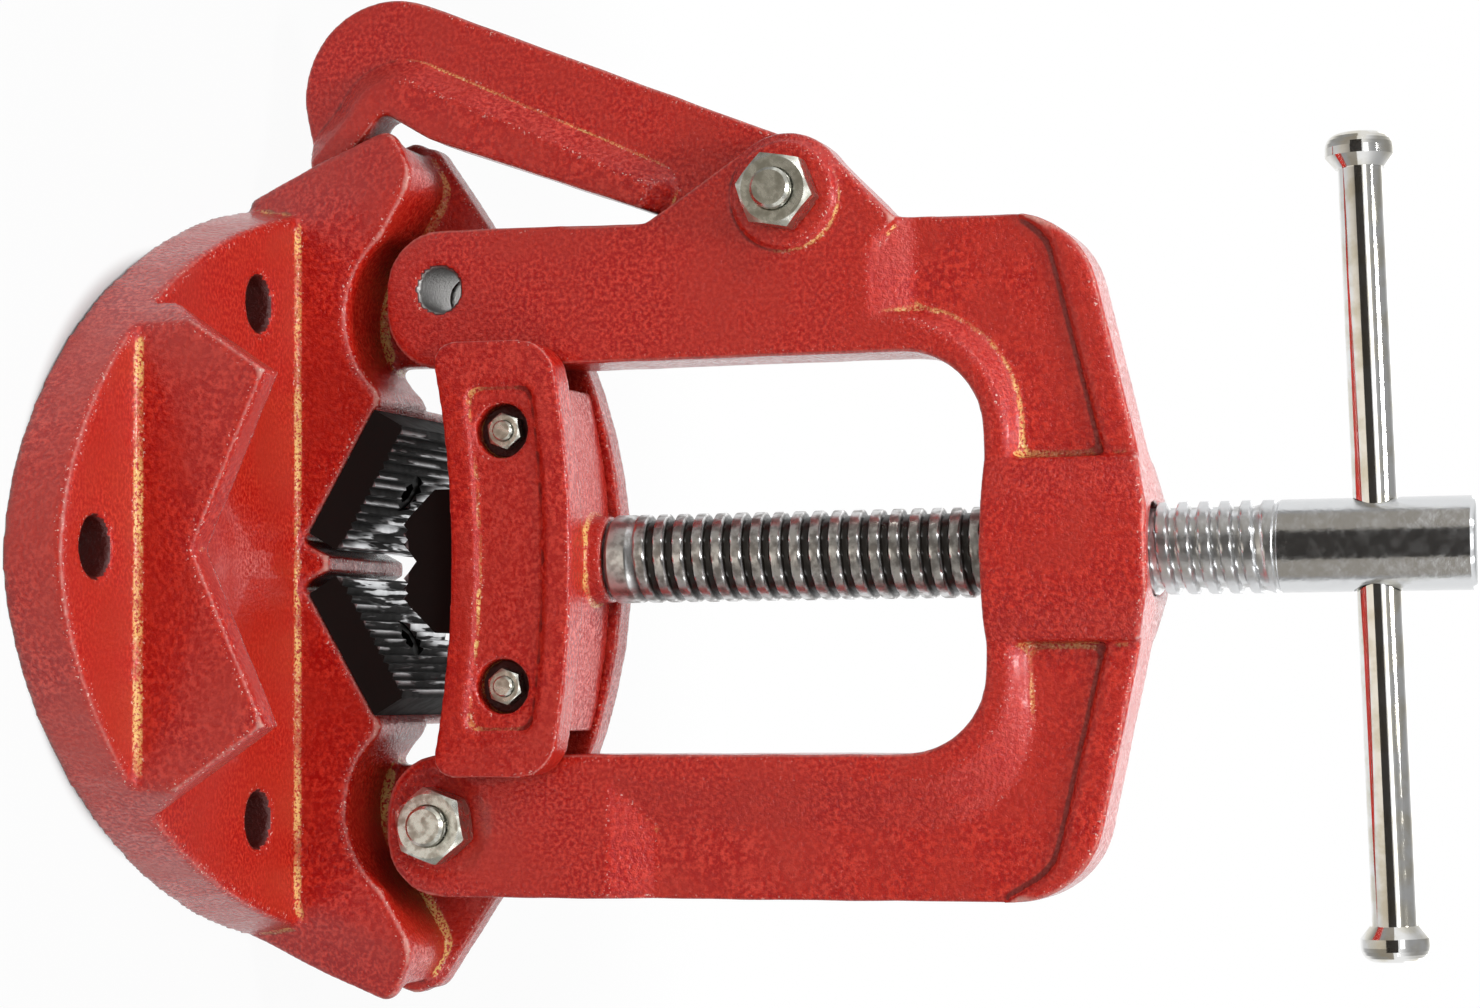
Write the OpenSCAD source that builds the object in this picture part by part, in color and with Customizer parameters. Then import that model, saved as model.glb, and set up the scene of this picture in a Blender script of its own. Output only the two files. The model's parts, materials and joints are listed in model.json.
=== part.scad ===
// Bench yoke vise for pipe: a cast foot with a V of toothed jaws, a hinged cast yoke held shut
// by a swinging latch hook, and a screw that drives a sliding upper jaw down onto the pipe.
// Millimetres. X to the right, Y away from the front, Z up. The origin lies on the bench,
// straight below the axis of the screw.

/* [Foot] */
// Thickness of the foot plate
foot_t = 15; // [10:0.5:24]
// Half width of the foot's underside at its back edge
foot_half_w = 95.5; // [90:0.5:102]
// Half width of the foot's top at its back edge, narrower by the draft of its sides
foot_top_half_w = 93; // [84:0.5:95]
// Fullness of the foot's rounded outline: 2 is an ellipse, less runs straighter to the lugs
foot_fullness = 1.8; // [1.6:0.05:2.2]
// Sideways shift of the cast foot plate against the upright
foot_shift = 1.5; // [-3:0.1:3]
// How far the foot plate reaches ahead of the upright
foot_reach = 122; // [114:1:140]
// Bench bolt hole diameter
bolt_hole_d = 13.5; // [9:0.5:16]
// Distance of each side bolt hole from the middle
side_hole_x = 64; // [56:0.5:68]
// Distance of the side bolt holes ahead of the upright
side_hole_ahead = 21.5; // [16:0.5:40]
// Distance of the front bolt hole ahead of the upright
front_hole_ahead = 106; // [103:0.5:108]

/* [Pipe rest] */
// Distance of the rest's front face ahead of the upright
rest_ahead = 87; // [70:1:90]
// Thickness of the rest
rest_t = 9; // [6:0.5:14]
// Distance of each peak of the rest from the middle
rest_peak_x = 40.5; // [32:0.5:46]
// Height of the peaks above the plate
rest_peak_h = 32; // [24:0.5:40]
// Height of the valley above the plate
rest_valley_h = 14; // [8:0.5:20]
// Half width of the rest at its foot
rest_foot_x = 62; // [54:0.5:70]

/* [Upright] */
// Distance of the upright's front face ahead of the screw axis
upright_front = 12.5; // [12:0.5:18]
// Thickness of the walls that carry the hinge bolt
hinge_wall_t = 8; // [6:0.5:20]
// Half width of the upright over its two lugs
lug_half_w = 111; // [108:0.5:114]
// Height of a lug's tip above the plate
lug_tip_h = 24; // [22:0.5:26]
// Height of a lug's top above the plate
lug_top_h = 32.3; // [30:0.5:35]
// Height of the hinge axis above the plate
hinge_h = 38.5; // [36:0.5:46]
// Distance of the hinge axis from the middle
hinge_x = 66; // [64:0.5:69]
// Distance of the spare pin hole in the free leg from the middle
spare_hole_x = 68.5; // [66:0.5:70]
// Radius of the hollow that a leg end swings in
hollow_r = 25; // [22:0.5:26]
// Radius of the hinge wall around the bolt
hinge_wall_r = 14.5; // [13:0.5:18]
// Thickness of the web in front of the latch pocket
pocket_web_t = 7.5; // [6:0.25:7.5]
// Depth of the latch pocket behind the edge of the web
pocket_d = 5; // [4:0.25:7]
// How far the latch pocket runs down below the lug's root
pocket_below = 3.5; // [3:0.5:8]

/* [Lower jaws] */
// Length of a lower jaw along the V
jaw_l = 35.7; // [28:0.1:37]
// Length of a lower jaw along the pipe
jaw_d = 50; // [40:0.5:56]
// Thickness of a lower jaw
jaw_t = 10; // [8:0.5:12]
// Slope of the V
jaw_angle = 30; // [27:0.5:32]
// Distance of a jaw seat's lower end from the middle
seat_x = 7.7; // [7.5:0.1:10.5]
// Height of a jaw seat's lower end above the plate
seat_h = 3.6; // [3:0.1:7]
// Pitch of the teeth
tooth_pitch = 2.5; // [1.5:0.1:4]
// Height of the teeth
tooth_h = 1.2; // [0.6:0.1:1.6]
// Jaw screw diameter
jaw_screw_d = 6; // [4:0.5:6]
// Length of a jaw screw under its head
jaw_screw_l = 14; // [10:0.5:18]

/* [Yoke] */
// Thickness of the legs
leg_t = 22; // [18:0.5:24]
// Width of the legs
leg_w = 35.5; // [33:0.5:38]
// Width of the window between the legs
window_w = 97; // [93:0.5:102]
// Height of the window above the hinge axis
window_h = 140; // [130:1:160]
// Length of a leg below the hinge axis
leg_end = 14.5; // [13:0.25:16]
// Height of the crown over the screw
crown_h = 40; // [34:0.5:50]
// Fall of the crown's top from the screw boss to the corner
crown_fall = 16.5; // [10:0.5:22]
// Width of the screw boss
boss_w = 44; // [36:0.5:50]
// Depth of the screw boss
boss_d = 34; // [30:0.5:40]
// Thickness of the outer rim of the crown
rim_t = 17; // [15:0.5:18]
// Thickness of the web inside the rim
web_t = 13; // [10:0.5:14]
// Width of the rim along the crown's top
rim_w = 7.5; // [5:0.5:10]
// Width of the rib along the top of the window
rib_w = 5.8; // [5:0.1:8]
// Width of the steep wall beside the left panel
left_flank = 1.5; // [1:0.1:4]
// Width of the gentle slope along the right leg, down to the right panel
right_flank = 10; // [6:0.5:12]
// Width of the slope from the rib down to the right panel
rib_flank = 4.5; // [1:0.5:6]
// Length of the ramp at the lower end of a panel
panel_ramp = 9.5; // [4:0.5:12]
// How far the left leg's outer edge leans in up to the shoulder
shoulder_in = 3; // [0:0.5:4]

/* [Hinge bolt and latch bolt] */
// Bolt diameter
bolt_d = 10; // [8:0.5:12]
// Width across flats of the bolt head and nut
bolt_af = 17; // [15:0.5:19]
// Height of the nut
nut_h = 8.4; // [7:0.1:10]
// Height of the bolt head
head_h = 6.4; // [5:0.1:8]
// Length of bolt that stands past the nut
bolt_past = 3; // [1:0.5:6]
// Diameter of the spare pin hole in the free leg
spare_hole_d = 11; // [8:0.5:12]

/* [Latch] */
// Distance of the latch pivot from the middle
latch_x = 88; // [86:0.2:92]
// Height of the latch pivot above the hinge axis
latch_h = 91; // [86:0.5:96]
// Radius of the latch eye
eye_r = 14; // [13:0.25:15]
// Thickness of the latch plate
latch_t = 8; // [6:0.25:9]
// Height of the rib on the latch plate
latch_rib_h = 5.5; // [3:0.25:5.5]
// Width of the rib's crest beside the hook's mouth, half of that near the eye
latch_rib_w = 13.5; // [10:0.5:17]
// Width of the rib's sloping flank
latch_flank = 4.5; // [2:0.25:5]
// Radius of the hook's rounded end
hook_r = 24.5; // [22:0.5:26]

/* [Upper jaw and carriage] */
// Opening between the V and the upper jaw
jaw_opening = 18.3; // [15:0.1:40]
// Half width of the carriage flange
flange_half_w = 54; // [51:0.5:55]
// Height of the flange at the middle
flange_h = 31.5; // [28:0.5:36]
// Thickness of the front flange
flange_t = 10; // [8.5:0.5:14]
// Rise of the arched flange from its ends to its middle
flange_rise = 5.5; // [3:0.5:8]
// Depth of the shallow channel along the flange's front face
channel_d = 1.2; // [0.6:0.1:2]
// Half width of that channel
channel_half_w = 43; // [40:0.5:46]
// Distance of the channel from the flange's lower and upper edges
channel_margin = 6.5; // [4:0.25:8]
// Thickness of the rear guide plate
guide_t = 9; // [6:0.5:12]
// Rise of the arched guide plate from its ends to its middle
guide_rise = 11; // [6:0.5:14]
// Half width of the block between the legs
block_half_w = 43; // [40:0.5:46]
// Distance of each guide bolt from the middle
guide_bolt_x = 31.6; // [28:0.2:36]
// Guide bolt diameter
guide_bolt_d = 5; // [4:0.5:6]
// Half width of the upper jaw
upper_half_w = 18; // [15:0.5:20]
// Length of the upper jaw below the flange
upper_drop = 16.7; // [14:0.1:20]
// Length of the upper jaw held inside the carriage
upper_held = 9.5; // [8:0.5:10]

/* [Screw and handle] */
// Outside diameter of the screw
screw_d = 22; // [18:0.5:24]
// Height of the carriage's collar under the screw
collar_h = 4; // [2:0.5:6]
// Length of the screw above the collar
screw_l = 212; // [202:1:260]
// Diameter of the journal in the carriage
journal_d = 16; // [13:0.5:16.5]
// Length of the journal in the carriage
journal_l = 19; // [17:0.5:20]
// Distance of the handle below the top of the screw
handle_down = 23.5; // [18:0.5:26]
// Handle bar diameter
bar_d = 10.3; // [8:0.1:12]
// Length of the handle over its knobs
handle_l = 194; // [160:1:240]
// Knob diameter
knob_d = 16; // [14:0.5:22]
// Knob length
knob_l = 8.3; // [7:0.1:14]
// Tilt of the loose handle in its hole
handle_tilt = 1.6; // [0:0.1:2]

/* [Fits] */
// Radial clearance of a turning fit
turn_fit = 0.05; // [0.02:0.01:0.1]
// Radial clearance of the screw in its crown
screw_fit = 0.15; // [0.05:0.05:0.3]
// Gap between faces that slide past each other
slide_gap = 0.5; // [0.3:0.1:1]
// Gap between parts that seat without moving
seat_gap = 0.1; // [0.05:0.05:0.2]

/* [Hidden] */
$fn = 64;

// Room beyond a face that a cut runs into
cut = 1;
// Faces of the upright and the legs along Y
front_y = -upright_front;
leg_y = leg_t / 2;
hinge_wall_y = leg_y + slide_gap;
rear_y = hinge_wall_y + hinge_wall_t;
jaw_back_y = front_y + jaw_d;

// Heights of the main levels
hinge_z = foot_t + hinge_h;
seat_z = foot_t + seat_h;
lug_tip_z = foot_t + lug_tip_h;
lug_top_z = foot_t + lug_top_h;
window_z = hinge_z + window_h;
crown_z = window_z + crown_h;
latch_z = hinge_z + latch_h;
pivot = [-latch_x, latch_z];

// Outline of the lug's lower edge: from its tip down and in to the foot
lug_slope = [-15.5, -39] / norm([15.5, 39]);
lug_inward = [-lug_slope[1], lug_slope[0]] * -1;
lug_tip = [lug_half_w, lug_tip_z];
lug_top = [lug_half_w - 13.5, lug_top_z];
lug_knee = lug_tip + lug_slope * lug_tip_z / 2 / -lug_slope[1];
lug_root = [lug_half_w - 16.8, 0];
// The bump between the jaws, the relief beside it, and the step past a jaw's upper end
bump_top = [1.8, seat_z + 5];
notch = [seat_x - 1.9, seat_z - 2.8];
jaw_end_step = [2.5, 1.5];
// The hollow for a leg end: its centre, and the angles its arc runs between
hollow = [hinge_x - 3.5, hinge_z];
hollow_from = 222;
hollow_to = 322;

// Leg and window outlines
leg_in = window_w / 2;
leg_out = leg_in + leg_w;
leg_bottom_z = hinge_z - leg_end;
leg_round = leg_end;
window_round = 20;
corner_round = 22;

// The V and its jaws
jaw_dir = [cos(jaw_angle), sin(jaw_angle)];
jaw_up = [-sin(jaw_angle), cos(jaw_angle)];
seat_low = [seat_x, seat_z];
seat_high = seat_low + jaw_l * jaw_dir;
v_apex_z = seat_z - seat_x * tan(jaw_angle) + jaw_t / cos(jaw_angle);
jaw_screw_at = seat_low + jaw_dir * jaw_l / 2;
jaw_y = (front_y + jaw_back_y) / 2;
jaw_screw_head_d = jaw_screw_d * 1.65;

// The carriage, measured from the flange's lower edge at the middle
flange_z = v_apex_z + jaw_opening + upper_drop;
flange_top_z = flange_z + flange_h;
guide_bolt_z = flange_z + flange_h * 0.42;
flange_y = leg_y + slide_gap;
guide_nut_af = guide_bolt_d * 1.6;
guide_nut_h = guide_bolt_d * 0.8;
guide_recess_d = guide_bolt_d * 2.7;
guide_recess_depth = guide_nut_h + 2.5;
upper_z = flange_z - upper_drop;
upper_top_z = flange_z + upper_held;
upper_pin_d = 5;
upper_pin_l = leg_t - 4;
upper_pin_z = flange_z + upper_held / 2;
upper_notch = [3, 3.5];

// The screw and its retaining pins
collar_top_z = flange_top_z + collar_h;
screw_z = collar_top_z + slide_gap;
screw_top_z = screw_z + screw_l;
screw_chamfer = 1.5;
journal_z = flange_top_z - journal_l;
groove_d = journal_d - 4;
groove_h = 4.4;
spindle_pin_d = 4;
spindle_pin_z = journal_z + 7;
spindle_pin_x = (groove_d + spindle_pin_d) / 2 + seat_gap;
spindle_pin_l = leg_t - 3;
handle_z = screw_top_z - handle_down;
handle_hole_d = bar_d + 1.3;

// Latch layers along Y, from the ear at the front to the plate at the back
ear_back_y = 0.5;
latch_front_y = ear_back_y + slide_gap;
latch_back_y = latch_front_y + latch_t;
rib_front_y = latch_front_y - latch_rib_h;
boss_ring_h = 2;
spot_depth = 1;
// Steps that make up the sloping flank of the hook's rib, and the sloping walls of the yoke's panels
flank_steps = 4;
panel_steps = 6;

// Points along an arc about c from angle a0 to angle a1
function arc(c, r, a0, a1, n = 16) =
    [for (i = [0:n]) let (a = a0 + (a1 - a0) * i / n) c + r * [cos(a), sin(a)]];
function unit(v) = v / norm(v);
// A signed turn brought into the range from -180 to 180 degrees
function turn(a) = a > 180 ? a - 360 : a < -180 ? a + 360 : a;
// The arc that rounds the corner q between p and s
function corner(p, q, s, r, n = 8) =
    let (u = unit(p - q), v = unit(s - q), half = acos(u * v) / 2)
    let (c = q + unit(u + v) * r / sin(half), a = q + u * r / tan(half) - c)
    let (b = q + v * r / tan(half) - c, a0 = atan2(a[1], a[0]), a1 = atan2(b[1], b[0]))
    arc(c, r, a0, a0 + turn(a1 - a0), n);
function flat(v) = [v[0], v[1]];
// A closed outline from corners given as [x, z, radius]
function rounded(pts) = let (n = len(pts))
    [for (i = [0:n - 1]) let (q = pts[i], p = pts[(i + n - 1) % n], s = pts[(i + 1) % n])
        each (q[2] > 0 ? corner(flat(p), flat(q), flat(s), q[2]) : [flat(q)])];
function flip(pts) = [for (i = [len(pts) - 1:-1:0]) [-pts[i][0], pts[i][1]]];

// An outline drawn in X and Z, swept along Y
module slab(y0, y1) translate([0, y1, 0]) rotate([90, 0, 0]) linear_extrude(y1 - y0) children();
// A round bar along Y, centred on [x, z]
module bar_y(d, at, y0, y1)
    translate([at[0], y0, at[1]]) rotate([-90, 0, 0]) cylinder(d = d, h = y1 - y0);
// A hexagon prism along Y
module hex_y(af, at, y0, y1, spin = 0)
    translate([at[0], y0, at[1]]) rotate([-90, 0, 0]) rotate(spin)
        cylinder(d = af / cos(30), h = y1 - y0, $fn = 6);
module both_sides() {
    children();
    mirror([1, 0, 0]) children();
}

// A sine or cosine bent to the fullness of the foot's outline
function bowed(t) = sign(t) * pow(abs(t), 2 / foot_fullness);
// Foot outline in plan: half an oval that reaches forward from the back edge
module foot_outline(half_w) {
    reach = foot_reach + rear_y - front_y;
    translate([foot_shift, 0])
        polygon([for (a = [180:5:360]) [half_w * bowed(cos(a)), rear_y + reach * bowed(sin(a))]]);
}

// Right half of the upright's outline: bump, jaw seat, hollow for the leg end, lug
function upright_half() =
    concat([bump_top, notch, seat_low, seat_high, seat_high + jaw_end_step],
        arc(hollow, hollow_r, hollow_from, hollow_to),
        corner(hollow + hollow_r * [cos(hollow_to), sin(hollow_to)], lug_top, lug_tip, 8),
        corner(lug_top, lug_tip, lug_knee, 4),
        [lug_knee, lug_root]);

module upright_outline() polygon(concat(upright_half(), flip(upright_half())));

// The middle of the upright that carries the jaws and runs back as far as they do
module v_block_outline() {
    half_w = seat_high[0] + jaw_end_step[0];
    intersection() {
        upright_outline();
        translate([-half_w, 0]) square([2 * half_w, hinge_z]);
    }
}

// The wall behind a leg that carries its bolt, right side
module hinge_wall_outline() {
    top_z = hinge_z + hinge_wall_r;
    inner_x = hinge_x - hinge_wall_r;
    tip = lug_tip + [-1.5, 4];
    polygon(rounded([[inner_x, foot_t - cut, 0], [inner_x, top_z, hinge_wall_r * 0.98],
        [hinge_x + hinge_wall_r * 0.48, top_z, hinge_wall_r * 0.98], [tip[0], tip[1], 4],
        [lug_root[0], 0, 0], [inner_x, 0, 0]]));
}

module rest_outline() polygon([[-rest_foot_x, 0], [-rest_foot_x, foot_t],
    [-rest_peak_x, foot_t + rest_peak_h], [0, foot_t + rest_valley_h],
    [rest_peak_x, foot_t + rest_peak_h], [rest_foot_x, foot_t], [rest_foot_x, 0]]);

// The pocket behind a lug's front web that the hook's nose enters, right side
module pocket_outline() {
    edge = lug_tip + lug_inward * pocket_d;
    low = edge + lug_slope * (lug_tip_h + pocket_below) / -lug_slope[1];
    high = edge - lug_slope * (lug_top_h);
    polygon([low, high, high + [60, 0], low + [60, 0]]);
}

// Bevel on the outer part of a lug's front face, right side
module lug_bevel() {
    ridge = [lug_half_w - 28, foot_t - 2];
    lean = 24;
    slope = 14.5;
    translate([ridge[0], front_y, ridge[1]]) rotate([0, lean, 0]) rotate([0, 0, slope])
        translate([0, -40, -30]) cube([60, 40, 90]);
}

module base_casting() color("firebrick") difference() {
    union() {
        linear_extrude(foot_t, scale = [foot_top_half_w / foot_half_w, 1], slices = 1)
            foot_outline(foot_half_w);
        difference() {
            slab(front_y, rear_y) upright_outline();
            both_sides() lug_bevel();
        }
        slab(front_y, jaw_back_y) v_block_outline();
        both_sides() slab(hinge_wall_y, rear_y) hinge_wall_outline();
        intersection() {
            slab(front_y - rest_ahead, front_y - rest_ahead + rest_t) rest_outline();
            linear_extrude(foot_t + rest_peak_h + cut) foot_outline(foot_top_half_w);
        }
    }
    both_sides() slab(front_y + pocket_web_t, hinge_wall_y) pocket_outline();
    both_sides() translate([side_hole_x, front_y - side_hole_ahead, -cut])
        cylinder(d = bolt_hole_d, h = foot_t + 2 * cut);
    translate([0, front_y - front_hole_ahead, -cut])
        cylinder(d = bolt_hole_d, h = foot_t + 2 * cut);
    bar_y(bolt_d + 2 * seat_gap, [hinge_x, hinge_z], front_y - cut, rear_y + cut);
    bar_y(spare_hole_d, [-spare_hole_x, hinge_z], front_y - cut, rear_y + cut);
    both_sides() jaw_screw_place()
        translate([0, 0, -jaw_screw_l]) cylinder(d = jaw_screw_d + 2 * seat_gap, h = jaw_screw_l + jaw_t);
}

// Frame of a jaw screw on the right: Z runs up out of the jaw seat, from the seat's face
module jaw_screw_place() translate([jaw_screw_at[0], jaw_y, jaw_screw_at[1]])
    rotate([0, -jaw_angle, 0]) children();

// Outline of the right jaw: its seat face below and a row of teeth above
module jaw_outline() {
    teeth = floor(jaw_l / tooth_pitch);
    spare = (jaw_l - teeth * tooth_pitch) / 2;
    root = jaw_t - tooth_h;
    profile = concat([[0, seat_gap], [0, root], [spare, root]],
        [for (i = [0:teeth - 1]) each [[spare + (i + 0.5) * tooth_pitch, jaw_t],
            [spare + (i + 1) * tooth_pitch, root]]],
        [[jaw_l, root], [jaw_l, seat_gap]]);
    polygon([for (p = profile) seat_low + p[0] * jaw_dir + p[1] * jaw_up]);
}

module lower_jaw() difference() {
    slab(front_y, jaw_back_y) jaw_outline();
    jaw_screw_place() {
        translate([0, 0, -cut]) cylinder(d = jaw_screw_d + 2 * seat_gap, h = jaw_t + 2 * cut);
        translate([0, 0, jaw_screw_sink()])
            cylinder(d = jaw_screw_head_d + 4 * seat_gap, h = jaw_t);
    }
}

// Height of the screw head's seat above the jaw seat
function jaw_screw_sink() = jaw_t - tooth_h - jaw_screw_d - 0.3;

module lower_jaw_right() color("dimgray") lower_jaw();

module lower_jaw_left() color("dimgray") mirror([1, 0, 0]) lower_jaw();

module lower_jaw_screws() color("darkgray") both_sides() jaw_screw_place()
    translate([0, 0, jaw_screw_sink()]) difference() {
        union() {
            translate([0, 0, -jaw_screw_l + cut]) cylinder(d = jaw_screw_d, h = jaw_screw_l - cut);
            cylinder(d = jaw_screw_head_d, h = jaw_screw_d);
        }
        translate([0, 0, jaw_screw_d / 2]) cylinder(d = jaw_screw_d * 0.95, h = jaw_screw_d, $fn = 6);
    }

// Faces along Y of the hinge bolt's nut and of the bolt's head
hinge_nut_y = -leg_y + spot_depth - slide_gap;

module hinge_bolt() color("silver") {
    at = [hinge_x, hinge_z];
    bar_y(bolt_d, at, hinge_nut_y - nut_h - bolt_past, rear_y + cut);
    hex_y(bolt_af, at, rear_y, rear_y + head_h);
}

module hinge_nut() color("silver") difference() {
    hex_y(bolt_af, [hinge_x, hinge_z], hinge_nut_y - nut_h, hinge_nut_y, 9);
    bar_y(bolt_d, [hinge_x, hinge_z], hinge_nut_y - nut_h - cut, hinge_nut_y + cut);
}

// The whole yoke seen from the front: two legs, the window and the falling crown
corner_z = crown_z - crown_fall;
shoulder_z = crown_z - 2.8;
peak_x = screw_d / 2 - 1;
function left_edge_x(z) = -leg_out + shoulder_in * (z - leg_bottom_z) / (corner_z - leg_bottom_z);
module yoke_outline() polygon(rounded([[leg_out, leg_bottom_z, leg_round], [leg_out, corner_z, corner_round],
    [boss_w / 2, shoulder_z, 0], [peak_x, crown_z, 0], [-peak_x, crown_z, 0], [-boss_w / 2, shoulder_z, 0],
    [left_edge_x(corner_z), corner_z, corner_round], [-leg_out, leg_bottom_z, leg_round],
    [-leg_in, leg_bottom_z, leg_round], [-leg_in, window_z, window_round],
    [leg_in, window_z, window_round], [leg_in, leg_bottom_z, leg_round]]));

// The thick part: both legs and the rib along the window. The panels start higher on the left.
left_panel_z = hinge_z + window_h * 0.8;
right_panel_z = hinge_z + window_h * 0.32;
right_wall_x = leg_in + leg_w * 0.19;
left_wall_x = leg_in + leg_w * 0.25;
rib_z = window_z + rib_w;
panel_d = (leg_t - web_t) / 2;
// Its outline at the share t of the way down from the legs' faces to the panels' floors
function leg_points(t) =
    let (right_x = right_wall_x + right_flank * t, right_low_z = right_panel_z + panel_ramp * t)
    let (left_x = left_wall_x + left_flank * t, left_low_z = left_panel_z + panel_ramp * t)
    rounded([[leg_out, leg_bottom_z, leg_round], [leg_out, right_low_z, 0],
        [right_x, right_low_z, 0], [right_x, rib_z + rib_flank * t, window_round + 5],
        [-left_x, rib_z + left_flank * t, window_round + 12 - 4 * t], [-left_x, left_low_z, 0],
        [left_edge_x(left_low_z), left_low_z, 0], [-leg_out, leg_bottom_z, leg_round],
        [-leg_in, leg_bottom_z, leg_round], [-leg_in, window_z, window_round],
        [leg_in, window_z, window_round], [leg_in, leg_bottom_z, leg_round]]);
module legs() for (i = [0:panel_steps - 1]) {
    sunk = panel_d * i / panel_steps;
    slab(sunk - leg_y, leg_y - sunk) polygon(leg_points(i / (panel_steps - 1)));
}

// Recessed panel of one shoulder, right side, from the height low_z up to the rim
module panel_outline(low_z) {
    top_z = shoulder_z - rim_w;
    polygon(rounded([[leg_out + cut, low_z, 0], [leg_out + cut, corner_z - 22, 0],
        [leg_out - rim_w, corner_z - rim_w, 12], [boss_w / 2 - 2, top_z, 0], [boss_w / 2 - 2, low_z, 0]]));
}

// Screw boss of the crown: two shallow arcs back to back, under the crown's falling top
module screw_boss() intersection() {
    half_w = boss_w / 2;
    rise = (boss_d - leg_t) / 2;
    bow_r = (half_w * half_w + rise * rise) / (2 * rise);
    slab(-boss_d, boss_d) yoke_outline();
    translate([0, 0, window_z]) linear_extrude(crown_h) polygon(concat(
        arc([0, bow_r - boss_d / 2], bow_r, 270 - asin(half_w / bow_r), 270 + asin(half_w / bow_r)),
        arc([0, boss_d / 2 - bow_r], bow_r, 90 - asin(half_w / bow_r), 90 + asin(half_w / bow_r))));
}

// Ear on the left leg that carries the latch
module ear_outline() {
    translate(pivot) circle(r = eye_r + 1.5);
    polygon([pivot + [eye_r + 1, -38], pivot + [5, -36], pivot + [-12, -9.5], pivot + [-9.5, 12],
        pivot + [7, 28], pivot + [eye_r + 1, 20]]);
}

// Room for the latch behind the ear: its eye, and its arm at rest
module latch_room() {
    translate(pivot) circle(r = eye_r + 3 * slide_gap);
    polygon([pivot, hook_inner_top() + [2 * slide_gap, 0],
        hook_inner_top() + 3 * eye_r * hook_inner_dir() + [2 * slide_gap, 0],
        pivot + [-2 * eye_r, -3 * eye_r], pivot + [-2 * eye_r, 0]]);
}

module yoke_casting() color("firebrick") difference() {
    union() {
        difference() {
            slab(-rim_t / 2, rim_t / 2) yoke_outline();
            for (s = [-1, 1]) {
                y0 = s < 0 ? -leg_t : web_t / 2;
                slab(y0, y0 + leg_t - web_t / 2) panel_outline(right_panel_z);
                slab(y0, y0 + leg_t - web_t / 2) mirror([1, 0, 0]) panel_outline(left_panel_z);
            }
        }
        legs();
        screw_boss();
        slab(-leg_y, ear_back_y) ear_outline();
        bar_y(2 * (eye_r - 1), pivot, -leg_y - boss_ring_h, 0);
    }
    slab(ear_back_y, leg_t) latch_room();
    bar_y(bolt_d + 2 * seat_gap, pivot, -leg_t, leg_t);
    bar_y(bolt_d + 2 * turn_fit, [hinge_x, hinge_z], -leg_t, leg_t);
    bar_y(spare_hole_d, [-spare_hole_x, hinge_z], -leg_t, leg_t);
    bar_y(bolt_af * 1.5, [hinge_x, hinge_z], -leg_t, -leg_y + spot_depth);
    translate([0, 0, window_z - cut]) cylinder(d = screw_d + 2 * screw_fit, h = crown_h + 2 * cut);
}

// The hook's rounded end, and the point where its mouth opens beside the lug
hook_end = [-lug_half_w - 10.5, foot_t + hook_r - 4];
hook_mouth = [-lug_half_w + 2.8, lug_top_z + 0.7];
// Direction down the hook's inner edge, and where that edge leaves the eye
function hook_inner_dir() = let (d = hook_mouth - pivot, a = atan2(d[1], d[0]) - asin(eye_r / norm(d)))
    [cos(a), sin(a)];
function hook_inner_top() = let (e = hook_inner_dir()) pivot + eye_r * [-e[1], e[0]];
// Angle of the straight outer edge's normal, touching both the eye and the rounded end
function hook_outer_angle() = let (d = hook_end - pivot)
    atan2(d[1], d[0]) + 360 - acos((eye_r - hook_r) / norm(d));
// Nose and mouth, from the underside of the nose to the start of the inner edge
function hook_nose() = let (tip = [-lug_tip[0], lug_tip[1]])
    let (inward = [-lug_inward[0], lug_inward[1]], down = [-lug_slope[0], lug_slope[1]])
    let (nose = tip + down * 22 + inward * (pocket_d - slide_gap))
    concat([nose + [-4.5, -5.5], nose + [-1, -3.5], nose],
        arc([tip[0] - 0.6, tip[1] - 3.2], 3.5, 250, 160, 6), [hook_mouth]);

module hook_outline() polygon(concat(
    let (e = hook_inner_dir()) arc(pivot, eye_r, atan2(e[0], -e[1]), hook_outer_angle()),
    arc(hook_end, hook_r, hook_outer_angle(), 285), hook_nose()));

// Crest of the raised rib along the hook's inner edge and round its mouth
module latch_crest_outline() {
    e = hook_inner_dir();
    side = [e[1], -e[0]] * latch_rib_w;
    start = hook_inner_top() + e * (eye_r + 18 + latch_flank);
    bend = hook_mouth + [-2.8, -9.5];
    polygon(concat([start, start + side / 2], arc(bend, latch_rib_w, 150, 250, 10),
        [hook_nose()[0], hook_nose()[1], hook_nose()[2]],
        [hook_mouth + [6, -20], hook_mouth + [4, 0]]));
}

// The rib, wider from its crest down to the plate
module latch_rib() for (i = [0:flank_steps - 1])
    slab(rib_front_y + latch_rib_h * i / flank_steps, latch_front_y + cut) intersection() {
        hook_outline();
        offset(r = latch_flank * i / (flank_steps - 1)) latch_crest_outline();
    }

module latch_hook() color("firebrick") difference() {
    union() {
        slab(latch_front_y, latch_back_y) hook_outline();
        latch_rib();
    }
    bar_y(bolt_d + 2 * turn_fit, pivot, -leg_t, leg_t);
}

latch_nut_y = -leg_y - boss_ring_h;

module latch_bolt() color("silver") {
    bar_y(bolt_d, pivot, latch_nut_y - nut_h - bolt_past, latch_back_y + slide_gap + cut);
    hex_y(bolt_af, pivot, latch_back_y + slide_gap, latch_back_y + slide_gap + head_h);
}

module latch_nut() color("silver") difference() {
    hex_y(bolt_af, pivot, latch_nut_y - nut_h, latch_nut_y, 20);
    bar_y(bolt_d, pivot, latch_nut_y - nut_h - cut, latch_nut_y + cut);
}

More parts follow.
